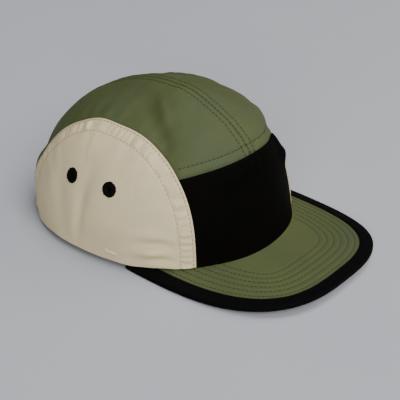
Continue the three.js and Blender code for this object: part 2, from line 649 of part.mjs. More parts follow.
const bounds = new THREE.Box3().setFromObject(cap);
cap.position.set(0, -bounds.getCenter(new THREE.Vector3()).y, -bounds.min.z);

export default cap;
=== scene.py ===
"""A sewn five panel cap on a pale table: black front, olive top and peak, cream sides, black trim."""

import math

import bmesh
import bpy
import numpy as np
from mathutils import Matrix, Vector
from mathutils.kdtree import KDTree


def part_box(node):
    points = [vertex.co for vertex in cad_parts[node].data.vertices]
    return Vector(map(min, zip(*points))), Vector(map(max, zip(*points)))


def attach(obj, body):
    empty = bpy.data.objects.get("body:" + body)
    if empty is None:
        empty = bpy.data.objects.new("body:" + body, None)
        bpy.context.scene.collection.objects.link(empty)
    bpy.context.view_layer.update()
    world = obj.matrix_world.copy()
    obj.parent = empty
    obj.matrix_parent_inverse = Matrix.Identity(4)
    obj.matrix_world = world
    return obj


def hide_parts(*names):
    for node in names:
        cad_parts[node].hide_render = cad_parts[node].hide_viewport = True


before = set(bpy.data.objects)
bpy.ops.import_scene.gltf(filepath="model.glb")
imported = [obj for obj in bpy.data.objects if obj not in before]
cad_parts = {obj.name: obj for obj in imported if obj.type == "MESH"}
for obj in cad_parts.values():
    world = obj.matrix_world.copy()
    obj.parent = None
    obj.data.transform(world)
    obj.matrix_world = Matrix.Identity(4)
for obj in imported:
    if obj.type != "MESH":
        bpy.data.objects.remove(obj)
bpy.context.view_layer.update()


# Camera, light and table.
# A plain pale blue-grey sheet, seen from 30 degrees above and lit evenly by large soft lights: two from the
# camera's side, one overhead and one from behind on the right. The sheet is matt painted board.
def linear(code):
    """An sRGB hex colour as linear red, green, blue and alpha."""
    channels = [int(code[i : i + 2], 16) / 255 for i in (1, 3, 5)]
    return [c / 12.92 if c <= 0.04045 else ((c + 0.055) / 1.055) ** 2.4 for c in channels] + [1.0]


def add_node(tree, kind, settings, inputs):
    """Adds a node. An input is either a value or the socket that is linked to it."""
    node = tree.nodes.new(kind)
    for key, value in settings.items():
        setattr(node, key, value)
    for key, value in inputs.items():
        if isinstance(value, bpy.types.NodeSocket):
            tree.links.new(value, node.inputs[key])
        else:
            node.inputs[key].default_value = value
    return node


def new_material(name):
    material = bpy.data.materials.new(name)
    material.use_nodes = True
    material.node_tree.nodes.clear()
    return material, material.node_tree


# Settings of a Mix node that mixes colours. Its inputs 0, 6 and 7 are the share and the two colours, and its
# output 2 is their mix.
colour_mix = {"data_type": "RGBA"}

crown_middle_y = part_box("peak_binding")[0].y + 0.166  # the crown's middle is 166 mm behind the peak's tip
camera_azimuth = math.radians(-49.6)
camera_elevation = math.radians(30.2)
camera_roll = math.radians(0.3)
camera_distance = 0.7
camera_target = Vector((-0.0188, crown_middle_y - 0.0564, 0.0341))

camera_back = Vector(
    (
        math.sin(camera_azimuth) * math.cos(camera_elevation),
        -math.cos(camera_azimuth) * math.cos(camera_elevation),
        math.sin(camera_elevation),
    )
)
camera_right = Vector((math.cos(camera_azimuth), math.sin(camera_azimuth), 0))
camera_up = camera_back.cross(camera_right)
rolled_right = camera_right * math.cos(camera_roll) + camera_up * math.sin(camera_roll)
rolled_up = camera_up * math.cos(camera_roll) - camera_right * math.sin(camera_roll)
camera = bpy.data.objects.new("camera", bpy.data.cameras.new("camera"))
camera.data.sensor_width = 36
camera.data.lens = 91.44
camera.matrix_world = Matrix.Translation(camera_target + camera_back * camera_distance) @ Matrix(
    (rolled_right, rolled_up, camera_back)
).transposed().to_4x4()
bpy.context.scene.collection.objects.link(camera)
bpy.context.scene.camera = camera


def soft_light(name, direction, power, colour):
    """A square light 4 m away that faces the cap from a direction."""
    light = bpy.data.objects.new(name, bpy.data.lights.new(name, "AREA"))
    light.data.size = 2.2
    light.data.energy = power
    light.data.color = linear(colour)[:3]
    place = Vector(direction).normalized() * 4.0
    light.matrix_world = Matrix.Translation(place) @ place.to_track_quat("Z", "Y").to_matrix().to_4x4()
    bpy.context.scene.collection.objects.link(light)


level_back = Vector((camera_back.x, camera_back.y, 0)).normalized()
soft_light("window", camera_right * 0.45 + level_back * 0.7 + Vector((0, 0, 0.7)), 120, "#fffdf8")
soft_light("fill", level_back - camera_right * 0.15 + Vector((0, 0, 0.45)), 95, "#ffffff")
soft_light("overhead", camera_right * 0.2 - level_back * 0.1 + Vector((0, 0, 1)), 84, "#ffffff")
soft_light("rim", camera_right * 0.9 - level_back * 0.5 + Vector((0, 0, 0.8)), 53, "#fffaf0")

world = bpy.data.worlds.new("soft_sky")
world.use_nodes = True
world.node_tree.nodes.clear()
sky = add_node(world.node_tree, "ShaderNodeBackground", {}, {"Color": linear("#ffffff"), "Strength": 0.02})
add_node(world.node_tree, "ShaderNodeOutputWorld", {}, {"Surface": sky.outputs[0]})
bpy.context.scene.world = world

# Painted board: matt, with a faint unevenness that only shows close up.
board, tree = new_material("painted_board")
place = add_node(tree, "ShaderNodeTexCoord", {}, {}).outputs["Object"]
cloudy = add_node(tree, "ShaderNodeTexNoise", {}, {"Vector": place, "Scale": 6.0, "Detail": 3.0})
tones = {0: cloudy.outputs[0], 6: linear("#a8abb4"), 7: linear("#adb0b8")}
tone = add_node(tree, "ShaderNodeMix", colour_mix, tones)
shader = add_node(tree, "ShaderNodeBsdfPrincipled", {}, {"Base Color": tone.outputs[2], "Roughness": 0.9})
add_node(tree, "ShaderNodeOutputMaterial", {}, {"Surface": shader.outputs[0]})

bm = bmesh.new()
bmesh.ops.create_grid(bm, x_segments=4, y_segments=4, size=4.0)
table_mesh = bpy.data.meshes.new("table")
bm.to_mesh(table_mesh)
bm.free()
table_mesh.materials.append(board)
table = bpy.data.objects.new("table", table_mesh)
bpy.context.scene.collection.objects.link(table)

# Front panel.
# One piece of black woven nylon, cut from arch to arch. Its top edge is sewn to the two top panels, its sides
# are lapped under the side panels, and its hem is turned in over the peak.

# The crown that all five panels are cut from, in millimetres from its centre. A spot on it is a place (a, b)
# of a disc: the angle from +b is the way round from the front, and the distance from the middle is the share
# of the way down from the apex (0) to the hem (1), called its station. Angles on the crown are in degrees.
RIM_HALF_WIDTH = 84.0
RIM_FRONT = 103.5
RIM_BACK = 91.0
RIM_SQUARENESS = 2.15
CROWN_TOP = 104.5
APEX_AHEAD = 15.0
SIDE_HEM = 4.6
HEM_SAG = 3.8
HEM_ON_PEAK = 1.6  # above the middle of the peak's board, with TAPE_UNDER_HEM more over the peak's tape
TAPE_UNDER_HEM = 0.9
INSIDE_TAPE = 67.2  # further out than this, the peak's tape runs under the hem
PEAK_HALF_WIDTH = 78.2
PEAK_SIDES = 1.7  # height of the board's middle at the peak's side edges
PEAK_ARCH = 6.0
PEAK_END = 41.0
ARCH_MIDDLE = 92
ARCH_AHEAD = 59.2
ARCH_BEHIND = 48.0
ARCH_TOP = 0.357
TOP_SEAM = 0.548
OPENING_TOP = 0.66
MERIDIANS = np.array(
    [
        # front out, up, side out, up, back out, up
        [0.0, 1.0, 0.0, 1.0, 0.0, 1.0],
        [0.165, 0.998, 0.159, 0.974, 0.19, 0.981],
        [0.323, 0.963, 0.319, 0.926, 0.371, 0.924],
        [0.475, 0.902, 0.479, 0.87, 0.539, 0.844],
        [0.617, 0.825, 0.632, 0.801, 0.687, 0.746],
        [0.744, 0.726, 0.768, 0.696, 0.806, 0.62],
        [0.83, 0.601, 0.872, 0.554, 0.893, 0.478],
        [0.877, 0.456, 0.941, 0.419, 0.949, 0.357],
        [0.925, 0.312, 0.978, 0.277, 0.981, 0.238],
        [0.968, 0.158, 0.994, 0.137, 0.999, 0.121],
        [1.0, 0.0, 1.0, 0.0, 1.0, 0.0],
    ]
)
# The slack cloth's dents and folds: way round and share down of the middle, half-length, half-width, turn of
# the long way, and height in millimetres.
FOLDS = [
    (92, 0.37, 0.12, 0.08, 88, 0.92),
    (135, 0.265, 0.15, 0.08, 45, -1.7),
    (48, 0.47, 0.07, 0.03, -44, 0.92),
    (44, 0.59, 0.09, 0.05, -44, -2.99),
    (33, 0.54, 0.08, 0.045, -35, -2.76),
    (33, 0.69, 0.08, 0.04, -28, 3.22),
    (8, 0.64, 0.26, 0.035, -8, -1.61),
    (-48, 0.42, 0.12, 0.05, -55, -2.3),
    (-24, 0.42, 0.16, 0.06, -20, 1.38),
    (-141, 0.78, 0.1, 0.09, 38, 2.99),
    (-146, 0.645, 0.07, 0.04, -34, -2.85),
    (142, 0.7, 0.07, 0.06, -45, 2.76),
    (-104, 0.74, 0.2, 0.07, -8, -1.15),
    (-88, 0.77, 0.17, 0.04, 4, -1.6),
    (86, 0.74, 0.2, 0.05, 0, -1.15),
    (-49, 0.88, 0.11, 0.02, 49, -2.1),
    (-47, 0.958, 0.08, 0.017, 47, -1.6),
    (-52, 0.923, 0.1, 0.024, 53, 2.4),
    (-53, 0.835, 0.12, 0.03, 53, 1.7),
    (-70, 0.75, 0.1, 0.022, 16, 0.3),
    (-50, 0.25, 0.12, 0.025, 122, 1.0),
    (-63, 0.28, 0.14, 0.045, 122, -1.5),
    (-80, 0.27, 0.13, 0.09, 122, -1.6),
    (-46, 0.385, 0.05, 0.03, 130, -0.8),
]


def ease(value, start, end):
    share = np.clip((value - start) / (end - start), 0.0, 1.0)
    return share * share * (3 - 2 * share)


def squared_radius(direction, across, along, squareness):
    """Distance from the middle to a squared ellipse."""
    total = np.abs(np.sin(direction) / across) ** squareness + np.abs(np.cos(direction) / along) ** squareness
    return total ** (-1 / squareness)


def squared_half_width(along, half_across, half_along, squareness):
    return half_across * (1 - (along / half_along) ** squareness) ** (1 / squareness)


def rim_place(around):
    """The hem's outline from above."""
    along = np.where(np.cos(around) > 0, RIM_FRONT, RIM_BACK)
    radius = squared_radius(around, RIM_HALF_WIDTH, along, RIM_SQUARENESS)
    return radius * np.sin(around), -radius * np.cos(around)


def peak_middle(x):
    """Height of the middle of the peak's board, which arches over its width."""
    return PEAK_SIDES + PEAK_ARCH * (1 - np.clip(np.abs(x / PEAK_HALF_WIDTH), 0, 1) ** 3.6)


def hem_height(around):
    """The hem lies on the peak in front, is level at the sides and sags behind."""
    x, y = rim_place(around)
    sag = HEM_SAG * ease(y, 22, 60)
    off_tape = squared_half_width(INSIDE_TAPE, RIM_FRONT, RIM_HALF_WIDTH, RIM_SQUARENESS)
    on_peak = peak_middle(x) + HEM_ON_PEAK + TAPE_UNDER_HEM * (1 - ease(-y, off_tape, off_tape + 8))
    return np.maximum(SIDE_HEM - sag, on_peak * ease(-y, 0, PEAK_END))


def along_meridian(column, station):
    """Smooth curve through one column of the table, mirrored over the apex."""
    values = MERIDIANS[:, column]
    before = values[1] if column % 2 else -values[1]
    values = np.concatenate([[before], values, [2 * values[-1] - values[-2]]])
    row = np.clip(np.floor(station * 10).astype(int), 0, 9)
    t = station * 10 - row
    p, q, r, s = (values[row + k] for k in range(4))
    return q + 0.5 * t * (r - p + t * (2 * p - 5 * q + 4 * r - s + t * (3 * (q - r) + s - p)))


def bare_crown(a, b):
    """Points of the crown without its folds."""
    station = np.hypot(a, b)
    around = np.arctan2(a, b)
    share = np.cos(around) ** 2
    ahead = np.cos(around) > 0
    end_out = np.where(ahead, along_meridian(0, station), along_meridian(4, station))
    end_up = np.where(ahead, along_meridian(1, station), along_meridian(5, station))
    out = along_meridian(2, station) * (1 - share) + end_out * share
    up = along_meridian(3, station) * (1 - share) + end_up * share
    x, y = rim_place(around)
    level = SIDE_HEM + (CROWN_TOP - SIDE_HEM) * up + (hem_height(around) - SIDE_HEM) * station**3
    return np.stack([x * out, -APEX_AHEAD + (y + APEX_AHEAD) * out, level], axis=-1)


def crown_slopes(a, b):
    step = 0.004
    over_a = (bare_crown(a + step, b) - bare_crown(a - step, b)) / (2 * step)
    over_b = (bare_crown(a, b + step) - bare_crown(a, b - step)) / (2 * step)
    return over_a, over_b


def unit(vectors):
    return vectors / np.linalg.norm(vectors, axis=-1, keepdims=True)


def crown_normals(a, b):
    over_a, over_b = crown_slopes(a, b)
    return unit(np.cross(over_b, over_a))


def spot(around_degrees, station):
    around = np.radians(around_degrees)
    return station * np.sin(around), station * np.cos(around)


def fold_height(a, b):
    height = np.zeros_like(a)
    for around, station, long, wide, turn, rise in FOLDS:
        middle_a, middle_b = spot(around, station)
        turn = math.radians(turn)
        p = ((a - middle_a) * math.cos(turn) + (b - middle_b) * math.sin(turn)) / long
        q = ((b - middle_b) * math.cos(turn) - (a - middle_a) * math.sin(turn)) / wide
        height = height + rise * np.exp(-p * p - q * q)
    return height


ripple_seed = np.random.default_rng(11)
ripple_ways = unit(ripple_seed.normal(size=(18, 3)))
ripple_lengths = ripple_seed.uniform(16, 46, 18)
ripple_phases = ripple_seed.uniform(0, 2 * np.pi, 18)


def ripple_height(points):
    """The faint unevenness of soft cloth."""
    height = np.zeros(len(points))
    for way, length, phase in zip(ripple_ways, ripple_lengths, ripple_phases):
        height += 0.0022 * length * np.sin(points @ way * 2 * np.pi / length + phase)
    return height


def crown_points(a, b, lift):
    """Points of the cloth's outer face, in metres in the cap's own frame."""
    base = bare_crown(a, b)
    height = lift + fold_height(a, b) + ripple_height(base)
    points = (base + crown_normals(a, b) * height[:, None]) / 1000
    points[:, 1] += crown_middle_y
    return points


# The seams, as lines on the crown. A distance beside a seam is positive on the side of its "side" vectors.
def arch_spot(side, direction, reach):
    """Near one side's arch: direction 0 is its foot in front and pi its foot behind, and reach 1 is the seam."""
    ahead = np.cos(direction) > 0
    squareness = np.where(ahead, 3.0, 2.55)
    radius = reach * squared_radius(direction, 1, 1, squareness)
    around = ARCH_MIDDLE - np.where(ahead, ARCH_AHEAD, ARCH_BEHIND) * radius * np.cos(direction)
    return spot(side * around, 1 - (1 - ARCH_TOP) * radius * np.sin(direction))


def around_and_station(a, b):
    return np.degrees(np.arctan2(a, b)), np.hypot(a, b)


corner_around, corner_station = around_and_station(*arch_spot(1, math.radians(36), 1.005))


def top_seam_station(around_degrees):
    return TOP_SEAM + (corner_station - TOP_SEAM) * (around_degrees / corner_around) ** 2


def arch_corner(reach):
    """The direction in which the arch at this reach meets the top seam."""
    low, high = math.radians(25), math.radians(50)
    for _ in range(40):
        middle = (low + high) / 2
        around, station = around_and_station(*arch_spot(1, middle, reach))
        low, high = (middle, high) if station > top_seam_station(around) else (low, middle)
    return (low + high) / 2


def run_along(points):
    """Distance along a line to each of its points."""
    return np.concatenate([[0], np.cumsum(np.linalg.norm(np.diff(points, axis=0), axis=1))])


def seam_line(a, b, side_towards):
    """A seam with its run, its normals and the unit vectors to its side, which point towards a spot."""
    points = bare_crown(a, b)
    normals = crown_normals(a, b)
    tangents = unit(np.gradient(points, axis=0))
    sides = unit(np.cross(normals, tangents))
    if ((bare_crown(*side_towards) - points) * sides).sum() < 0:
        sides = -sides
    tree = KDTree(len(points))
    for index, point in enumerate(points):
        tree.insert(point, index)
    tree.balance()
    return {"a": a, "b": b, "points": points, "sides": sides, "run": run_along(points), "tree": tree}


def beside_seam(points, seam):
    """Signed distance of each point from a seam, and how far along the seam it lies."""
    nearest = np.array([seam["tree"].find(point)[1] for point in points])
    way = points - seam["points"][nearest]
    sign = np.where((way * seam["sides"][nearest]).sum(-1) < 0, -1, 1)
    return np.linalg.norm(way, axis=1) * sign, seam["run"][nearest]


directions = np.linspace(0, np.pi, 700)
arch_seams = {
    side: seam_line(*arch_spot(side, directions, np.ones(700)), arch_spot(side, np.array([1.5]), np.array([0.2])))
    for side in (-1, 1)
}
arounds = np.linspace(-corner_around, corner_around, 420)
top_seam = seam_line(*spot(arounds, top_seam_station(arounds)), spot(np.array([0.0]), np.array([0.2])))
ridge_seam = seam_line(
    np.zeros(500), np.linspace(TOP_SEAM, -OPENING_TOP, 500), (np.array([0.5]), np.array([-0.05]))
)


def spots_beside(seam, offset):
    """Spots on the crown that lie beside a seam."""
    target = seam["points"] + seam["sides"] * offset
    a, b = seam["a"].copy(), seam["b"].copy()
    for _ in range(6):
        over_a, over_b = crown_slopes(a, b)
        miss = target - bare_crown(a, b)
        aa, ab, bb = ((p * q).sum(1) for p, q in ((over_a, over_a), (over_a, over_b), (over_b, over_b)))
        ma, mb = (over_a * miss).sum(1), (over_b * miss).sum(1)
        a = a + (ma * bb - mb * ab) / (aa * bb - ab * ab)
        b = b + (mb * aa - ma * ab) / (aa * bb - ab * ab)
    return a, b


def gathers(run, seed, shortest, longest):
    """Uneven waves along a seam, from -1 to 1 or so."""
    chance = np.random.default_rng(seed)
    waves = np.zeros(len(run))
    for length in chance.uniform(shortest, longest, 6):
        waves += np.sin(run * 2 * np.pi / length + chance.uniform(0, 2 * np.pi)) / 2.4
    return waves


def groove(distance, middle, half_width):
    return np.exp(-(((distance - middle) / half_width) ** 2))


def make_piece(bm, name, material, replaces=()):
    """Turns a finished bmesh into a smooth piece of the cap."""
    mesh = bpy.data.meshes.new(name)
    bm.to_mesh(mesh)
    bm.free()
    mesh.shade_smooth()
    mesh.materials.append(material)
    piece = bpy.data.objects.new(name, mesh)
    bpy.context.scene.collection.objects.link(piece)
    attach(piece, "root")
    if replaces:
        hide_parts(*replaces)
    return piece


def thicken(piece, thickness, edge):
    """Gives a sheet its thickness, inwards, and rounds its cut edges."""
    wall = piece.modifiers.new("thickness", "SOLIDIFY")
    wall.thickness = thickness
    wall.offset = -1
    rounding = piece.modifiers.new("rounded_edge", "BEVEL")
    rounding.width = edge
    rounding.segments = 2
    rounding.limit_method = "ANGLE"
    rounding.angle_limit = math.radians(60)


def away_from_head(face):
    """How far a face looks outwards, from a point inside the crown."""
    return face.normal.dot(face.calc_center_median() - Vector((0, crown_middle_y, 0.03)))


def turn_out(bm, outwards):
    """Turns a sheet over if its faces look inwards on the whole."""
    if sum(outwards(face) for face in bm.faces) < 0:
        bmesh.ops.reverse_faces(bm, faces=bm.faces)
    return bm


def sheet_mesh(columns, rows, point_at, size):
    """A grid bent to shape, with its cloth's own measures in metres as its UV map."""
    bm = bmesh.new()
    bmesh.ops.create_grid(bm, x_segments=columns, y_segments=rows, size=0.5)
    share = np.array([vertex.co[:2] for vertex in bm.verts]) + 0.5
    for vertex, point in zip(bm.verts, point_at(share[:, 0], share[:, 1])):
        vertex.co = point
    cloth = bm.loops.layers.uv.new("cloth")
    measures = share * size
    bm.verts.index_update()
    for face in bm.faces:
        for loop in face.loops:
            loop[cloth].uv = measures[loop.vert.index]
    bm.normal_update()
    return bm


def crown_sheet(columns, rows, spot_at, lift_at, size):
    """A sheet cut for the crown, with its faces outwards."""

    def point_at(u, v):
        a, b = spot_at(u, v)
        return crown_points(a, b, lift_at(a, b))

    return turn_out(sheet_mesh(columns, rows, point_at, size), away_from_head)


def closer_at_ends(share, amount):
    """Moves evenly spaced shares closer together at both ends."""
    return share - amount * np.sin(2 * np.pi * share) / (2 * np.pi)


# Woven nylon: a plain weave of fine filament threads, smooth with a soft satin sheen, and faintly uneven in
# tone where it has been handled. Its threads lie 0.3 mm apart, drawn at 0.8 mm so that they show close up.
ONE_WAVE = 0.31416  # a Wave texture's bands are this far apart at scale 1
WEAVE_THREAD = 0.0008


def woven_nylon(name, colour, shade, handled, sheen, roughness, specular=0.3):
    material, tree = new_material(name)
    cloth = add_node(tree, "ShaderNodeUVMap", {"uv_map": "cloth"}, {}).outputs[0]
    place = add_node(tree, "ShaderNodeTexCoord", {}, {}).outputs["Object"]
    heights = []
    for way in ("X", "Y"):
        threads = {"Vector": cloth, "Scale": ONE_WAVE / WEAVE_THREAD, "Distortion": 0.4, "Detail": 1.0}
        heights.append(add_node(tree, "ShaderNodeTexWave", {"bands_direction": way}, threads).outputs["Fac"])
    weave = add_node(tree, "ShaderNodeMath", {"operation": "MULTIPLY"}, {0: heights[0], 1: heights[1]})
    crinkle = add_node(tree, "ShaderNodeTexNoise", {}, {"Vector": place, "Scale": 260.0, "Detail": 4.0})
    patches = add_node(tree, "ShaderNodeTexNoise", {}, {"Vector": place, "Scale": 24.0, "Detail": 3.0})
    patchy = {"Value": patches.outputs[0], "From Min": 0.35, "From Max": 0.65}
    spread = add_node(tree, "ShaderNodeMapRange", {}, patchy)
    tones = {0: spread.outputs[0], 6: linear(colour), 7: linear(shade)}
    tone = add_node(tree, "ShaderNodeMix", colour_mix, tones)
    wide = add_node(tree, "ShaderNodeTexNoise", {}, {"Vector": place, "Scale": 11.0, "Detail": 1.5})
    here = {"Value": wide.outputs[0], "From Min": 0.52, "From Max": 0.7, "To Max": 0.7}
    rubbed = add_node(tree, "ShaderNodeMapRange", {}, here)
    tints = {0: rubbed.outputs[0], 6: tone.outputs[2], 7: linear(handled)}
    tinted = add_node(tree, "ShaderNodeMix", colour_mix, tints)
    gaps = {"Value": weave.outputs[0], "To Min": 0.86, "To Max": 1.06}
    between = add_node(tree, "ShaderNodeMapRange", {}, gaps)
    darkened = {0: 1.0, 6: tinted.outputs[2], 7: between.outputs[0]}
    final = add_node(tree, "ShaderNodeMix", {**colour_mix, "blend_type": "MULTIPLY"}, darkened)
    uneven = {"Value": crinkle.outputs[0], "To Min": roughness - 0.08, "To Max": roughness + 0.08}
    rough = add_node(tree, "ShaderNodeMapRange", {}, uneven)
    fine = add_node(tree, "ShaderNodeBump", {}, {"Height": weave.outputs[0], "Strength": 0.3, "Distance": 0.0002})
    creases = {"Height": crinkle.outputs[0], "Strength": 0.25, "Distance": 0.0008, "Normal": fine.outputs[0]}
    crumpled = add_node(tree, "ShaderNodeBump", {}, creases)
    finish = {
        "Base Color": final.outputs[2],
        "Roughness": rough.outputs[0],
        "Specular IOR Level": specular,
        "Sheen Weight": sheen,
        "Sheen Roughness": 0.45,
        "Sheen Tint": linear(handled),
        "Normal": crumpled.outputs[0],
    }
    shader = add_node(tree, "ShaderNodeBsdfPrincipled", {}, finish)
    add_node(tree, "ShaderNodeOutputMaterial", {}, {"Surface": shader.outputs[0]})
    return material


black_nylon = woven_nylon("black_woven_nylon", "#070605", "#040403", "#090806", 0.0, 0.75, 0.03)

UNDERLAP = 0.955  # reach of the edges that run on under the side panels
LAP_DEPTH = 0.65
LEFT_TUCK = 1.6  # the left arch's seam is drawn in by this much more, between panels that puff up beside it
LEFT_PUFF = 1.2
FRONT_ROWS = (1.8, 5.6)  # stitch rows below the top seam
PANEL_CLOTH = (0.0007, 0.0002)  # thickness and the rounding of a cut edge


def drawn_in(a, b):
    """Share of the left seam's tuck, which fades out above the sweatband."""
    return np.where(a > 0, 1 - ease(np.hypot(a, b), 0.66, 0.8), 0.0)


def lap_dip(a, b):
    """How far the panels dip where they run under the side panels, less their puff beside the left seam."""
    points = bare_crown(a, b)
    dip = np.zeros(len(points))
    for side in (-1, 1):
        inside, _ = beside_seam(points, arch_seams[side])
        near = np.abs(inside) < 30
        dip = np.where(near, np.maximum(dip, LAP_DEPTH * ease(inside, -2.0, 0.6)), dip)
        if side > 0:
            tuck = LEFT_TUCK * ease(inside, -4.5, 0.6) - LEFT_PUFF * groove(-inside, 9, 4.5)
            dip += np.where(near, drawn_in(a, b) * tuck, 0.0)
    return dip


def front_lift(a, b):
    points = bare_crown(a, b)
    above, run = beside_seam(points, top_seam)
    below = -above
    lift = -0.75 * groove(below, 0, 1.1)
    lift -= sum(0.12 * groove(below, row, 0.8) for row in FRONT_ROWS)
    lift += 0.28 * gathers(run, 3, 7, 15) * ease(below, 1, 4) * np.exp(-np.clip(below, 0, None) / 9)
    return lift - lap_dip(a, b)


def front_spots(u, v):
    """u runs from the right arch to the left and v from the hem up to the top seam."""
    across = 2 * closer_at_ends(u, 0.35) - 1
    side = np.where(across < 0, -1.0, 1.0)
    up = closer_at_ends(v, 0.5)
    start = arch_corner(UNDERLAP)
    edge_around, edge_station = around_and_station(*arch_spot(1, start * up, UNDERLAP))
    foot_around, foot_station = around_and_station(*arch_spot(1, start, UNDERLAP))
    climb = (1 - edge_station) / (1 - foot_station)
    hem = 1.006
    station = hem + (top_seam_station(foot_around * np.abs(across)) + 0.0006 - hem) * climb
    return spot(side * edge_around * np.abs(across), station)


bm = crown_sheet(150, 74, front_spots, front_lift, (0.17, 0.085))
front_panel = make_piece(bm, "front_panel_cloth", black_nylon, ["front_panel"])
thicken(front_panel, *PANEL_CLOTH)


# Sewn thread: each visible stitch is a short length of twisted polyester pulled down into the cloth at both
# ends. The machine sets about eight stitches to 25 mm.
def stitch_rows(name, rows, material, slot, seed, pitch=3.0, length=2.3, thickness=0.56, crosswise=False):
    """Rows are pairs of points and normals in metres."""
    chance = np.random.default_rng(seed)
    turns = []
    for points, normals in rows:
        run = run_along(points) * 1000
        stops = np.arange(pitch * chance.uniform(0.3, 0.8), run[-1] - pitch / 2, pitch)
        stops = stops + chance.normal(0, 0.08, len(stops))
        for stop in stops:
            place, ahead, behind = (
                Vector([np.interp(stop + step, run, points[:, k]) for k in range(3)]) for step in (0, 0.6, -0.6)
            )
            out = Vector([np.interp(stop, run, normals[:, k]) for k in range(3)]).normalized()
            along = (ahead - behind).normalized()
            across = out.cross(along).normalized()
            if crosswise:
                along, across = across, -along
            along = (along + across * chance.normal(0, 0.06)).normalized()
            turn = Matrix((across, out, along)).transposed().to_4x4()
            half = length * chance.uniform(0.9, 1.06) / 2000
            size = Matrix.Diagonal((thickness / 2000, thickness / 2600, half, 1))
            turns.append(Matrix.Translation(place) @ turn @ size)
    whole = bmesh.new()
    part_mesh = bpy.data.meshes.new("stitches")
    for start in range(0, len(turns), 20):
        part = bmesh.new()
        for turn in turns[start : start + 20]:
            bmesh.ops.create_uvsphere(part, u_segments=6, v_segments=4, radius=1, matrix=turn)
        part.to_mesh(part_mesh)
        part.free()
        whole.from_mesh(part_mesh)
    bpy.data.meshes.remove(part_mesh)
    return make_piece(whole, name, material)


def crown_row(seam, offset, lift_at, keep=None, sit=0.12):
    """A row of sewing beside a seam: its points and normals."""
    a, b = spots_beside(seam, offset)
    if keep is not None:
        chosen = keep(a, b)
        a, b = a[chosen], b[chosen]
    return crown_points(a, b, lift_at(a, b) + sit), crown_normals(a, b)


# Polyester thread: twisted filaments with a dull gleam, slightly uneven in tone from stitch to stitch. The
# twist repeats every 0.4 mm.
def sewing_thread(name, colour, shade, specular=0.3):
    material, tree = new_material(name)
    place = add_node(tree, "ShaderNodeTexCoord", {}, {}).outputs["Object"]
    uneven = add_node(tree, "ShaderNodeTexNoise", {}, {"Vector": place, "Scale": 420.0, "Detail": 2.0})
    tones = {0: uneven.outputs[0], 6: linear(colour), 7: linear(shade)}
    tone = add_node(tree, "ShaderNodeMix", colour_mix, tones)
    strands = {"Vector": place, "Scale": ONE_WAVE / 0.0004, "Distortion": 1.0}
    twist = add_node(tree, "ShaderNodeTexWave", {"bands_direction": "DIAGONAL"}, strands).outputs["Fac"]
    bump = add_node(tree, "ShaderNodeBump", {}, {"Height": twist, "Strength": 0.4, "Distance": 0.0001})
    finish = {"Base Color": tone.outputs[2], "Roughness": 0.65, "Specular IOR Level": specular}
    shader = add_node(tree, "ShaderNodeBsdfPrincipled", {}, {**finish, "Normal": bump.outputs[0]})
    add_node(tree, "ShaderNodeOutputMaterial", {}, {"Surface": shader.outputs[0]})
    return material


black_thread = sewing_thread("black_polyester_thread", "#040404", "#080808", 0.06)
rows = [crown_row(top_seam, -row, front_lift) for row in FRONT_ROWS]
stitch_rows("front_panel_stitching", rows, black_thread, "black_thread", seed=21)

# Top panels.
# Two mirror-image pieces of olive woven nylon, joined on the ridge seam, which is taped inside and stitched 5 mm
# either side. A row of dark stitches along its middle is painted shade that darkens the seam's groove. One
# more row holds the front seam's allowance.
olive_nylon = woven_nylon("olive_woven_nylon", "#4d5532", "#465034", "#585b31", 0.1, 0.68, 0.24)

OPENING_HALF_ANGLE = 27
RIDGE_ROW = 5.0
TOP_SEAM_ROW = 6.8


def top_lift(a, b):
    points = bare_crown(a, b)
    from_ridge, ridge_run = beside_seam(points, ridge_seam)
    from_ridge = np.abs(from_ridge)
    above, front_run = beside_seam(points, top_seam)
    lift = -0.6 * groove(from_ridge, 0, 0.8) - 0.22 * groove(from_ridge, RIDGE_ROW, 0.8)
    lift += 0.2 * groove(from_ridge, 2.6, 1.2)
    lift += 0.3 * gathers(ridge_run, 8, 6, 14) * ease(from_ridge, 1, 6) * np.exp(-from_ridge / 9)
    ahead = ease(b, 0.2, 0.4)
    front = np.where(above > -2, 1.0, 0.0) * ahead
    row = 0.22 * groove(above, TOP_SEAM_ROW, 1.0)
    lift += front * (-0.7 * groove(above, 0, 1.0) - row + 0.15 * groove(above, 3.5, 1.8))
    lift += front * 0.25 * gathers(front_run, 9, 6, 14) * ease(above, 0.5, 3) * np.exp(-np.clip(above, 0, None) / 8)
    for side in (-1, 1):
        inside, run = beside_seam(points, arch_seams[side])
        away = np.clip(-inside, 0, None)
        lift += (0.37 - 0.13 * side) * gathers(run, 14 + side, 9, 22) * ease(away, 1, 6) * np.exp(-away / 13)
    return lift - lap_dip(a, b)


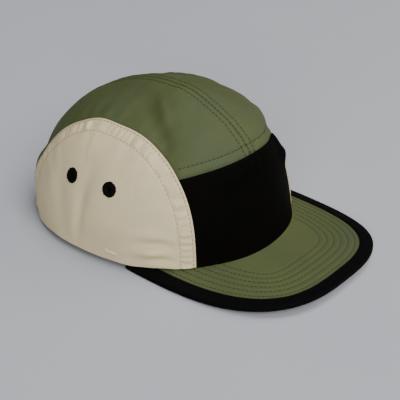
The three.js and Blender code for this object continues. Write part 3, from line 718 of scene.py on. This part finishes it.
def top_spots(side):
    def spots(u, v):
        """u runs from the ridge out to the arch and v from the top seam back to the opening and hem."""
        across = closer_at_ends(u, 0.45)
        back = closer_at_ends(v, 0.35)
        start = arch_corner(UNDERLAP)
        corner, _ = around_and_station(*arch_spot(1, start, UNDERLAP))

        def mix(p, q, share):
            return p[0] + (q[0] - p[0]) * share, p[1] + (q[1] - p[1]) * share

        def ridge(share):
            return 0 * share, TOP_SEAM + (-OPENING_TOP - TOP_SEAM) * share

        def arch(share):
            return arch_spot(1, start + (np.pi - start) * share, UNDERLAP)

        def front(share):
            around = corner * share
            return spot(around, top_seam_station(around))

        def behind(share):
            foot = opening_spot(np.ones_like(share))
            hem = mix(foot, arch(np.ones_like(share)), np.clip((share - 0.8) / 0.2, 0, 1))
            edge = opening_spot(np.clip(share / 0.8, 0, 1))
            return tuple(np.where(share >= 0.8, p, q) for p, q in zip(hem, edge))

        none, full = np.zeros_like(across), np.ones_like(across)
        between = mix(ridge(back), arch(back), across)
        ends = mix(front(across), behind(across), back)
        corners = mix(mix(ridge(none), arch(none), across), mix(ridge(full), arch(full), across), back)
        a = between[0] + ends[0] - corners[0]
        b = between[1] + ends[1] - corners[1]
        return side * a, b

    return spots


def opening_spot(share):
    """The back opening's edge: share 0 is its top, on the ridge, and 1 its foot at the hem."""
    direction = (1 - share) * np.pi / 2
    radius = squared_radius(direction, 1, 1, 2.2)
    around = 180 - OPENING_HALF_ANGLE * radius * np.cos(direction)
    return spot(around, 1 - (1 - OPENING_TOP) * radius * np.sin(direction))


for side, name in ((-1, "right"), (1, "left")):
    bm = crown_sheet(100, 220, top_spots(side), top_lift, (0.11, 0.21))
    top_panel = make_piece(bm, f"top_panel_{name}_cloth", olive_nylon, [f"top_panel_{name}"])
    thicken(top_panel, *PANEL_CLOTH)


def clear_of_sides(a, b):
    """Whether a spot lies clear of both side panels."""
    points = bare_crown(a, b)
    return np.all([beside_seam(points, arch_seams[side])[0] < -0.5 for side in (-1, 1)], axis=0)


dark_olive_thread = sewing_thread("dark_olive_polyester_thread", "#14160b", "#1c1f10")
rows = [
    crown_row(ridge_seam, -RIDGE_ROW, top_lift),
    crown_row(ridge_seam, RIDGE_ROW, top_lift),
    crown_row(top_seam, TOP_SEAM_ROW, top_lift, clear_of_sides),
    # The middle row on the ridge is painted shade: dark stitches that darken the seam's groove.
    crown_row(ridge_seam, 0.0, top_lift, sit=0.3),
]
stitch_rows("top_panel_stitching", rows, dark_olive_thread, "olive_cloth", seed=22)

# Side panels.
# One arch of cream woven nylon a side, lapped over its neighbours: the edge is folded under and topstitched
# close in, and a second row holds the tape behind it, which gathers the cloth between the rows.
cream_nylon = woven_nylon("cream_woven_nylon", "#d8c9a0", "#ccbd9d", "#d9ca9f", 0.3, 0.6)
FIRST_ROW = 1.7
SECOND_ROW = 10.5
LAP_HEIGHT = 0.5


def side_lift(a, b):
    points = bare_crown(a, b)
    lift = np.full(len(points), LAP_HEIGHT)
    for side in (-1, 1):
        inside, run = beside_seam(points, arch_seams[side])
        here = np.where(a * side > 0, 1.0, 0.0)
        if side > 0:
            lift -= LEFT_TUCK * drawn_in(a, b) * (1 - ease(inside, 2, 20))
        lift -= here * 0.3 * groove(inside, 0, 0.5)
        lift -= here * (0.22 * groove(inside, FIRST_ROW, 0.8) + 0.22 * groove(inside, SECOND_ROW, 0.9))
        band = ease(inside, FIRST_ROW, FIRST_ROW + 2.5) * (1 - ease(inside, SECOND_ROW - 2.5, SECOND_ROW))
        tight = 1 - ease(run, 25, 60)
        lift += here * band * (0.15 + 0.42 * gathers(run, 31 + side, 7, 17))
        lift += here * band * (0.17 + 0.25 * tight) * gathers(run, 45 + side, 4, 7)
        beyond = ease(inside, SECOND_ROW, SECOND_ROW + 4)
        lift += here * beyond * 0.3 * gathers(run, 37 + side, 9, 24) * np.exp(-(inside - SECOND_ROW) / 11)
    return lift


def side_spots(side):
    def spots(u, v):
        """A square bent onto the arch's half disc, so that its outer rows run along the arch."""
        across = math.sqrt(2) * np.cos(np.pi / 4 + closer_at_ends(u, 0.3) * np.pi / 2)
        up = math.sqrt(2) * np.sin(closer_at_ends(v, 0.3) * np.pi / 4)
        p = across * np.sqrt(1 - up**2 / 2)
        q = up * np.sqrt(1 - across**2 / 2)
        return arch_spot(side, np.arctan2(q, p), np.hypot(p, q))

    return spots


EYELETS = {"front": 72.5, "rear": 97.5}
EYELET_STATION = 0.645
HOLE = 0.0028  # radius in metres
for side, name in ((-1, "right"), (1, "left")):
    bm = crown_sheet(170, 84, side_spots(side), side_lift, (0.16, 0.09))
    for around in EYELETS.values():
        a, b = spot(np.array([side * around]), EYELET_STATION)
        middle = Vector(crown_points(a, b, side_lift(a, b))[0])
        within = [face for face in bm.faces if (face.calc_center_median() - middle).length < HOLE]
        bmesh.ops.delete(bm, geom=within, context="FACES")
    side_panel = make_piece(bm, f"side_panel_{name}_cloth", cream_nylon, [f"side_panel_{name}"])
    thicken(side_panel, 0.0006, 0.00018)

tan_thread = sewing_thread("tan_polyester_thread", "#7f6f4c", "#8f7f5d")
rows = [crown_row(arch_seams[side], FIRST_ROW, side_lift) for side in (-1, 1)]
stitch_rows("side_panel_edge_stitching", rows, tan_thread, "cream_cloth", seed=23)
pale_thread = sewing_thread("pale_polyester_thread", "#94886a", "#a09475")


def above_hem(a, b):
    return np.hypot(a, b) < 0.995


rows = [crown_row(arch_seams[side], SECOND_ROW, side_lift, above_hem) for side in (-1, 1)]
stitch_rows("side_panel_tape_stitching", rows, pale_thread, "cream_cloth", seed=24)


def bar_tack(side):
    """A bar of close crosswise stitches near the hem that holds the tape behind the panel."""
    a, b = spot(side * np.linspace(66.2, 72.4, 24), np.linspace(0.958, 0.952, 24))
    return crown_points(a, b, side_lift(a, b) + 0.35), crown_normals(a, b)


straw_thread = sewing_thread("straw_polyester_thread", "#d9ce9b", "#e3daab")
rows = [bar_tack(side) for side in (-1, 1)]
close = {"pitch": 0.42, "length": 3.3, "thickness": 0.6, "crosswise": True}
stitch_rows("side_panel_bar_tacks", rows, straw_thread, "cream_cloth", seed=27, **close)

# Peak.
# A stiff board between two layers of olive woven nylon, topstitched through in six rows that follow its edge,
# then sewn to the front panel's hem. It lies nearly flat and arches a little over its width.
PEAK_WIDEST = 54.5
PEAK_LENGTH = 111.5
PEAK_TUCK = 60.0
PEAK_SQUARENESS = 2.88
LEFT_EXTRA = 1.3  # the left half is this much wider, and squarer
LEFT_SQUARENESS = 2.96
PEAK_BOARD = 1.6
PEAK_UNDERLAP = 5.0  # the peak and its tape run on this far inside the hem
FOLD_REACH = 0.9  # the tape's fold stands out this far from the edge that it binds
ROW_STEP = 4.85
PEAK_ROWS = [12.6 + ROW_STEP * row for row in range(6)]


def peak_edge(direction, inset):
    """The peak's outer edge moved inwards, from above. Direction 0 is straight ahead."""

    def at(angle):
        on_left = np.sin(angle) > 0
        across = np.where(on_left, PEAK_HALF_WIDTH + LEFT_EXTRA, PEAK_HALF_WIDTH)
        along = np.where(np.cos(angle) > 0, PEAK_LENGTH, PEAK_TUCK)
        radius = squared_radius(angle, across, along, np.where(on_left, LEFT_SQUARENESS, PEAK_SQUARENESS))
        return np.stack([radius * np.sin(angle), -PEAK_WIDEST - radius * np.cos(angle)], axis=-1)

    tangent = unit(at(direction + 1e-3) - at(direction - 1e-3))
    inward = np.stack([-tangent[..., 1], tangent[..., 0]], axis=-1)
    inset = np.asarray(inset, float)[..., None]
    return at(direction) + inward * inset, inward


peak_end_back = PEAK_WIDEST - PEAK_END
peak_end_direction = math.pi / 2 + math.atan2(
    peak_end_back, squared_half_width(peak_end_back, PEAK_HALF_WIDTH, PEAK_TUCK, PEAK_SQUARENESS)
)
seam_end_angle = math.atan2(squared_half_width(PEAK_END, RIM_HALF_WIDTH, RIM_FRONT, RIM_SQUARENESS), PEAK_END)
all_round = np.linspace(-peak_end_direction, peak_end_direction, 900)
edge_line, _ = peak_edge(all_round, 0)
edge_tree = KDTree(len(edge_line))
for index, (x, y) in enumerate(edge_line):
    edge_tree.insert((x, y, 0), index)
edge_tree.balance()


def from_peak_edge(x, y):
    return np.array([edge_tree.find((p, q, 0))[2] for p, q in zip(x, y)])


def in_metres(x, y, z):
    return np.stack([x / 1000, y / 1000 + crown_middle_y, z / 1000], axis=-1)


def peak_top(x, y):
    """Height of the peak's upper cloth, with a shallow groove under each row of stitches."""
    inset = from_peak_edge(x, y)
    height = peak_middle(x) + PEAK_BOARD / 2
    for row in PEAK_ROWS:
        height = height - 0.16 * groove(inset, row, 0.9)
    between = ease(inset, 11, 15) * (1 - ease(inset, 35, 43))
    height = height + 0.07 * between * np.sin((inset - PEAK_ROWS[0]) * 2 * np.pi / ROW_STEP - np.pi / 2)
    return height + 0.05 * np.sin(x / 9 + 1.3) * np.sin(y / 11 + 0.4)


def peak_points(u, v):
    """u runs round the edge from right to left and v from under the crown out to the binding."""
    turn = 2 * u - 1
    out = closer_at_ends(v, 0.2)[:, None]
    seam_x, seam_y = rim_place(turn * seam_end_angle)
    start = np.stack([seam_x, seam_y], axis=-1)
    start = start * (1 - PEAK_UNDERLAP / np.linalg.norm(start, axis=-1, keepdims=True))
    edge, _ = peak_edge(turn * peak_end_direction, FOLD_REACH)
    place = start + (edge - start) * out
    return in_metres(place[:, 0], place[:, 1], peak_top(place[:, 0], place[:, 1]))


bm = turn_out(sheet_mesh(240, 76, peak_points, (0.24, 0.07)), lambda face: face.normal.z)
peak_cloth = make_piece(bm, "peak_cloth", olive_nylon, ["peak"])
thicken(peak_cloth, PEAK_BOARD / 1000, 0.0003)


def beyond_rim(x, y):
    """How far a place lies outside the hem, from above."""
    return np.hypot(x, y) - np.hypot(*rim_place(np.arctan2(x, -y)))


def peak_row(inset, surface, lift):
    """A row of sewing outside the crown, on the peak's upper side or, with its lift below 0, its under side."""
    line, _ = peak_edge(all_round, inset)
    x, y = line[beyond_rim(line[:, 0], line[:, 1]) > 0.2].T
    return in_metres(x, y, surface(x, y) + lift), np.tile([0.0, 0.0, math.copysign(1, lift)], (len(x), 1))


peak_thread = sewing_thread("olive_polyester_thread", "#1d2211", "#262c17")
rows = [peak_row(inset, peak_top, lift) for inset in PEAK_ROWS for lift in (0.08, -PEAK_BOARD - 0.08)]
stitch_rows("peak_stitching", rows, peak_thread, "olive_cloth", seed=25)


# Peak binding.
# A black woven tape, folded over the peak's edge and sewn through both sides near its inner edge. It stands a
# little proud of the cloth, with a soft rounded fold along the rim.
def tape_weave(name, colour, shade, rib):
    """Grosgrain: a firm tape whose ribs run across its width."""
    material, tree = new_material(name)
    cloth = add_node(tree, "ShaderNodeUVMap", {"uv_map": "cloth"}, {}).outputs[0]
    place = add_node(tree, "ShaderNodeTexCoord", {}, {}).outputs["Object"]
    across = {"Vector": cloth, "Scale": ONE_WAVE / rib, "Distortion": 0.3}
    ribs = add_node(tree, "ShaderNodeTexWave", {"bands_direction": "X"}, across).outputs["Fac"]
    uneven = add_node(tree, "ShaderNodeTexNoise", {}, {"Vector": place, "Scale": 60.0, "Detail": 4.0})
    tones = {0: uneven.outputs[0], 6: linear(colour), 7: linear(shade)}
    tone = add_node(tree, "ShaderNodeMix", colour_mix, tones)
    rough = add_node(tree, "ShaderNodeMapRange", {}, {"Value": uneven.outputs[0], "To Min": 0.7, "To Max": 0.9})
    bump = add_node(tree, "ShaderNodeBump", {}, {"Height": ribs, "Strength": 0.35, "Distance": 0.0003})
    puckers = {"Height": uneven.outputs[0], "Strength": 0.2, "Distance": 0.002, "Normal": bump.outputs[0]}
    puckered = add_node(tree, "ShaderNodeBump", {}, puckers)
    finish = {"Base Color": tone.outputs[2], "Roughness": rough.outputs[0], "Specular IOR Level": 0.05}
    shader = add_node(tree, "ShaderNodeBsdfPrincipled", {}, {**finish, "Normal": puckered.outputs[0]})
    add_node(tree, "ShaderNodeOutputMaterial", {}, {"Surface": shader.outputs[0]})
    return material


TAPE_RIBS = 0.0009  # apart, in metres
black_tape = tape_weave("black_grosgrain_tape", "#040404", "#070708", TAPE_RIBS)


def folded_profile(width, under, over):
    """Flattened fold with two flat sides: across and up of points from the upper inner edge round to the lower."""
    radius = (over - under) / 2
    upper = [(width - (width - radius) * k / 8, over - 0.25 * max(0, 1 - k / 1.5)) for k in range(8)]
    middle = (over + under) / 2
    turn = [
        (
            radius - FOLD_REACH - radius * math.sqrt(math.sin(angle)),
            middle + radius * math.copysign(math.sqrt(abs(math.cos(angle))), math.cos(angle)),
        )
        for angle in np.radians([0, 4, 12, 26, 45, 64, 80, 100, 116, 135, 154, 168, 176, 180])
    ]
    lower = [(x, under + over - y) for x, y in reversed(upper)]
    return np.array(upper + turn + lower)


def on_profile(section, share):
    """Across and up of a profile at a share of the way along its points."""
    step = share * (len(section) - 1)
    return (np.interp(step, range(len(section)), section[:, k]) for k in (0, 1))


binding_section = folded_profile(8.5, -2.5, 0.85)


def board_top(x, y):
    return peak_middle(x) + PEAK_BOARD / 2


def binding_points(u, v):
    place, inward = peak_edge((2 * u - 1) * peak_end_direction, FOLD_REACH)
    across, up = on_profile(binding_section, v)
    chance = np.random.default_rng(41)
    for length in chance.uniform(0.02, 0.06, 5):
        up = up + 0.035 * np.sin(u * 2 * np.pi / length + chance.uniform(0, 6)) * ease(across, 1, 4)
    x, y = (place + inward * across[:, None]).T
    return in_metres(x, y, board_top(x, y) + up)


def under_crown(face):
    middle = face.calc_center_median() * 1000
    return beyond_rim(middle.x, middle.y - crown_middle_y * 1000) < -PEAK_UNDERLAP


bm = turn_out(
    sheet_mesh(320, len(binding_section) - 1, binding_points, (0.42, 0.024)),
    lambda face: face.normal.z if face.calc_center_median().z > 0.006 else 0,
)
bmesh.ops.delete(bm, geom=[face for face in bm.faces if under_crown(face)], context="FACES")
binding = make_piece(bm, "peak_binding_tape", black_tape, ["peak_binding"])
thicken(binding, 0.0005, 0.00015)
BINDING_ROW = 7.9
rows = [peak_row(BINDING_ROW, board_top, lift) for lift in (0.86, -2.52)]
stitch_rows("binding_stitching", rows, black_thread, "black_thread", seed=26)

# Seam tapes.
# Black tape is sewn over the turned-in edges on the inside of the ridge seam, the top seam and both arches, so
# that no raw edge shows inside the crown. The sweatband covers the ends of the arch tapes.
def seam_tape(name, seam, first, last, lift_at, keep, columns, rows=8):
    """A strip inside the crown from one offset beside a seam to another."""
    offsets = np.linspace(first, last, rows + 1)
    strips = [np.stack(spots_beside(seam, offset)) for offset in offsets]
    shown = np.flatnonzero(keep(seam["a"], seam["b"]))
    strips = np.stack([strip[:, shown] for strip in strips])

    def tape_points(u, v):
        along = np.round(u * (strips.shape[2] - 1)).astype(int)
        across = np.round(v * rows).astype(int)
        a, b = strips[across, 0, along], strips[across, 1, along]
        return crown_points(a, b, lift_at(a, b, offsets[across]))

    length = (seam["run"][shown[-1]] - seam["run"][shown[0]]) / 1000
    bm = turn_out(sheet_mesh(columns, rows, tape_points, (length, (last - first) / 1000)), away_from_head)
    tape = make_piece(bm, name, black_tape)
    thicken(tape, 0.0004, 0.0001)


def under_arch(a, b, offset):
    return -1.75 - LEFT_TUCK * drawn_in(a, b) + 0.55 * ease(offset, 3, 9)


def above_band(a, b):
    return np.hypot(a, b) < 0.83


def whole_seam(a, b):
    return np.ones(len(a), bool)


seam_tape("ridge_seam_tape", ridge_seam, -7, 7, lambda a, b, offset: top_lift(a, b) - 1.0, whole_seam, 240)
seam_tape("top_seam_tape", top_seam, -7, 8, lambda a, b, offset: np.full(len(a), -2.1), whole_seam, 200)
seam_tape("arch_seam_tape_right", arch_seams[-1], -5, 12, under_arch, above_band, 300)
seam_tape("arch_seam_tape_left", arch_seams[1], -5, 12, under_arch, above_band, 300)

# Sweatband.
# A band of black brushed cotton twill, folded double and sewn inside the hem from one end of the strap round
# the front to the other. Its lower edge shows as a thin dark line under the side panels.
cotton, tree = new_material("black_cotton_twill")
cloth = add_node(tree, "ShaderNodeUVMap", {"uv_map": "cloth"}, {}).outputs[0]
place = add_node(tree, "ShaderNodeTexCoord", {}, {}).outputs["Object"]
# Twill threads lie 0.5 mm apart, drawn at 1.1 mm as slanting ridges, under a matt fuzz of brushed fibres.
slant = add_node(tree, "ShaderNodeMapping", {}, {"Vector": cloth, "Rotation": (0, 0, math.radians(45))})
twill = {"Vector": slant.outputs[0], "Scale": ONE_WAVE / 0.0011, "Distortion": 0.5}
ridges = add_node(tree, "ShaderNodeTexWave", {"bands_direction": "X"}, twill).outputs["Fac"]
fuzz = add_node(tree, "ShaderNodeTexNoise", {}, {"Vector": place, "Scale": 300.0, "Detail": 5.0})
tones = {0: fuzz.outputs[0], 6: linear("#080808"), 7: linear("#0e0e0f")}
tone = add_node(tree, "ShaderNodeMix", colour_mix, tones)
rough = add_node(tree, "ShaderNodeMapRange", {}, {"Value": fuzz.outputs[0], "To Min": 0.82, "To Max": 0.98})
bump = add_node(tree, "ShaderNodeBump", {}, {"Height": ridges, "Strength": 0.4, "Distance": 0.0003})
finish = {"Base Color": tone.outputs[2], "Roughness": rough.outputs[0], "Specular IOR Level": 0.15}
shader = add_node(tree, "ShaderNodeBsdfPrincipled", {}, {**finish, "Normal": bump.outputs[0]})
add_node(tree, "ShaderNodeOutputMaterial", {}, {"Surface": shader.outputs[0]})

STRAP_END = 180 - OPENING_HALF_ANGLE - 12.0  # the strap runs on for 12 degrees inside the panels
BAND_END = STRAP_END - 1
BAND_LIFT = -1.5
BAND_EDGE = 0.04  # share of the band's width that is drawn down to the hem
BELOW_HEM = 0.8


def band_points(u, v):
    """u runs round the head from right to left and v from the hem up."""
    around = (2 * u - 1) * BAND_END
    station = 1 - 0.2 * np.clip((v - BAND_EDGE) / (1 - BAND_EDGE), 0, 1)
    a, b = spot(around, station)
    swell = 0.35 * np.sin(np.pi * v) - 0.3 * groove(v, 0.93, 0.02)
    points = crown_points(a, b, BAND_LIFT + swell - 0.35)
    y = (points[:, 1] - crown_middle_y) * 1000
    hem = hem_height(np.radians(around)) - BELOW_HEM * (1 - ease(-y, 0, PEAK_END))
    low = ease(BAND_EDGE - v, 0, BAND_EDGE)
    points[:, 2] = points[:, 2] * (1 - low) + hem / 1000 * low
    return points


bm = turn_out(sheet_mesh(300, 30, band_points, (0.5, 0.032)), away_from_head)
band = make_piece(bm, "sweatband_cloth", cotton, ["sweatband"])
thicken(band, 0.001, 0.0003)

# Eyelets.
# Two a side, worked in black embroidery thread: close stitches wrap the edge of each punched hole all the way
# round and stand up as a ribbed ring with a slightly ragged outline.

# Rayon embroidery thread: dulled by handling, and finely uneven where its strands lie together.
rayon, tree = new_material("black_rayon_embroidery")
place = add_node(tree, "ShaderNodeTexCoord", {}, {}).outputs["Object"]
strands = add_node(tree, "ShaderNodeTexNoise", {}, {"Vector": place, "Scale": 700.0, "Detail": 3.0})
tones = {0: strands.outputs[0], 6: linear("#040404"), 7: linear("#070707")}
tone = add_node(tree, "ShaderNodeMix", colour_mix, tones)
bump = add_node(tree, "ShaderNodeBump", {}, {"Height": strands.outputs[0], "Strength": 0.3, "Distance": 0.0002})
finish = {"Base Color": tone.outputs[2], "Roughness": 0.8, "Specular IOR Level": 0.08, "Normal": bump.outputs[0]}
shader = add_node(tree, "ShaderNodeBsdfPrincipled", {}, finish)
add_node(tree, "ShaderNodeOutputMaterial", {}, {"Surface": shader.outputs[0]})

THREADS = 72  # stitches round each eyelet
# The ring's section: radius and height in millimetres.
RING = [(1.3, -0.6), (1.2, 0.0), (1.3, 0.5), (2.3, 0.85), (3.4, 0.9), (4.5, 0.8), (5.3, 0.5), (5.45, 0.1)]
RING += [(5.2, -0.6), (4.4, -1.1), (3.4, -1.2), (2.3, -1.1)]
for side, side_name in ((-1, "right"), (1, "left")):
    for end, around in EYELETS.items():
        a, b = spot(np.array([side * around]), EYELET_STATION)
        # The normal of the folded cloth, from the cloth a little way off on both sides.
        step = 0.01
        top = np.full(1, LAP_HEIGHT)
        over_a = crown_points(a + step, b, top) - crown_points(a - step, b, top)
        over_b = crown_points(a, b + step, top) - crown_points(a, b - step, top)
        out = Vector(unit(np.cross(over_b, over_a))[0])
        middle = Vector(crown_points(a, b, top - 0.3)[0])
        bm = bmesh.new()
        corners = [bm.verts.new((radius / 1000, 0, height / 1000)) for radius, height in RING]
        edges = [bm.edges.new((corners[k], corners[(k + 1) % len(corners)])) for k in range(len(corners))]
        section = corners + edges
        bmesh.ops.spin(
            bm, geom=section, cent=(0, 0, 0), axis=(0, 0, 1), angle=2 * math.pi, steps=THREADS, use_merge=True
        )
        bmesh.ops.remove_doubles(bm, verts=bm.verts, dist=1e-6)
        chance = np.random.default_rng(51 + len(end) + side)
        raggedness = chance.uniform(-0.32, 0.2, THREADS)
        for vertex in bm.verts:
            angle = math.atan2(vertex.co.y, vertex.co.x)
            step = round(angle / (2 * math.pi) * THREADS) % THREADS
            radius = math.hypot(vertex.co.x, vertex.co.y)
            rib = 0.00012 if step % 2 else -0.00006
            outer = min(1, max(0, (radius - 0.004) / 0.0014))
            grown = 1 + raggedness[step] / 1000 * outer / radius
            vertex.co.x *= grown
            vertex.co.y *= grown
            vertex.co.z += rib * math.copysign(1, vertex.co.z)
        bmesh.ops.recalc_face_normals(bm, faces=bm.faces)
        turn = Matrix.Translation(middle) @ out.to_track_quat("Z", "Y").to_matrix().to_4x4()
        bmesh.ops.transform(bm, matrix=turn, verts=bm.verts)
        name = f"eyelet_{side_name}_{end}"
        make_piece(bm, f"{name}_thread", rayon, [name])

# Back opening's binding.
# The same black tape, folded over the cut edge of the two top panels round the opening and sewn through.
opening_section = folded_profile(5.1, -2.3, 1.1)


def opening_frames(share):
    """Points, and the ways across and up from the cloth's edge, along the opening from right to left."""
    side = np.where(share < 0, -1.0, 1.0)

    def at(offset):
        moved = np.clip(np.abs(share) + offset, 0, 1 + offset)
        around = opening_spot(moved)
        return crown_points(side * around[0], around[1], np.zeros(len(share))) * 1000

    a, b = opening_spot(np.abs(share))
    up = crown_normals(side * a, b)
    along = unit((at(0.01) - at(0)) * side[:, None])
    return at(0), np.cross(along, up), up


def opening_points(u, v):
    point, across, up = opening_frames(2 * u - 1)
    reach, rise = on_profile(opening_section, v)
    return (point + across * reach[:, None] + up * rise[:, None]) / 1000


bm = sheet_mesh(160, len(opening_section) - 1, opening_points, (0.18, 0.015))
bmesh.ops.remove_doubles(bm, verts=bm.verts, dist=1e-6)
bm.normal_update()
turn_out(bm, lambda face: away_from_head(face) if face.calc_center_median().y > crown_middle_y + 0.07 else 0)
opening_tape = make_piece(bm, "opening_binding_tape", black_tape, ["opening_binding"])
thicken(opening_tape, 0.0005, 0.00015)

# Back strap.
# Black polypropylene webbing, ribbed across, sewn in behind the panels at both ends of the opening.
WEBBING_RIBS = 0.0016
webbing = tape_weave("black_ribbed_webbing", "#080808", "#0d0d0e", WEBBING_RIBS)
STRAP_LIFT = -2.7
STRAP_LOW = 0.965
STRAP_WIDTH = 0.02


def strap_points(u, v):
    around = STRAP_END + (360 - 2 * STRAP_END) * u
    lift = np.full(len(u), STRAP_LIFT)
    low = crown_points(*spot(around, np.full(len(u), STRAP_LOW)), lift)
    high = crown_points(*spot(around, np.full(len(u), OPENING_TOP)), lift)
    return low + unit(high - low) * STRAP_WIDTH * v[:, None]


bm = turn_out(sheet_mesh(120, 16, strap_points, (0.11, STRAP_WIDTH)), lambda face: face.normal.y)
strap = make_piece(bm, "back_strap_webbing", webbing, ["back_strap"])
thicken(strap, 0.0014, 0.0004)

# Strap clasp.
# A plain moulded loop of black acetal that the webbing runs through, with softened edges.
acetal, tree = new_material("black_moulded_acetal")
place = add_node(tree, "ShaderNodeTexCoord", {}, {}).outputs["Object"]
grain = add_node(tree, "ShaderNodeTexNoise", {}, {"Vector": place, "Scale": 1800.0, "Detail": 2.0})
rough = add_node(tree, "ShaderNodeMapRange", {}, {"Value": grain.outputs[0], "To Min": 0.38, "To Max": 0.52})
bump = add_node(tree, "ShaderNodeBump", {}, {"Height": grain.outputs[0], "Strength": 0.1, "Distance": 0.0001})
finish = {"Base Color": linear("#121213"), "Roughness": rough.outputs[0], "IOR": 1.48, "Normal": bump.outputs[0]}
shader = add_node(tree, "ShaderNodeBsdfPrincipled", {}, finish)
add_node(tree, "ShaderNodeOutputMaterial", {}, {"Surface": shader.outputs[0]})

bm = bmesh.new()
bm.from_mesh(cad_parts["strap_clasp"].data)
bmesh.ops.remove_doubles(bm, verts=bm.verts, dist=1e-6)
bmesh.ops.dissolve_limit(bm, angle_limit=math.radians(2), verts=bm.verts, edges=bm.edges)
bmesh.ops.bevel(
    bm, geom=bm.edges, offset=0.0005, offset_type="OFFSET", affect="EDGES", segments=3, profile=0.5, material=-1
)
make_piece(bm, "strap_clasp_loop", acetal, ["strap_clasp"])
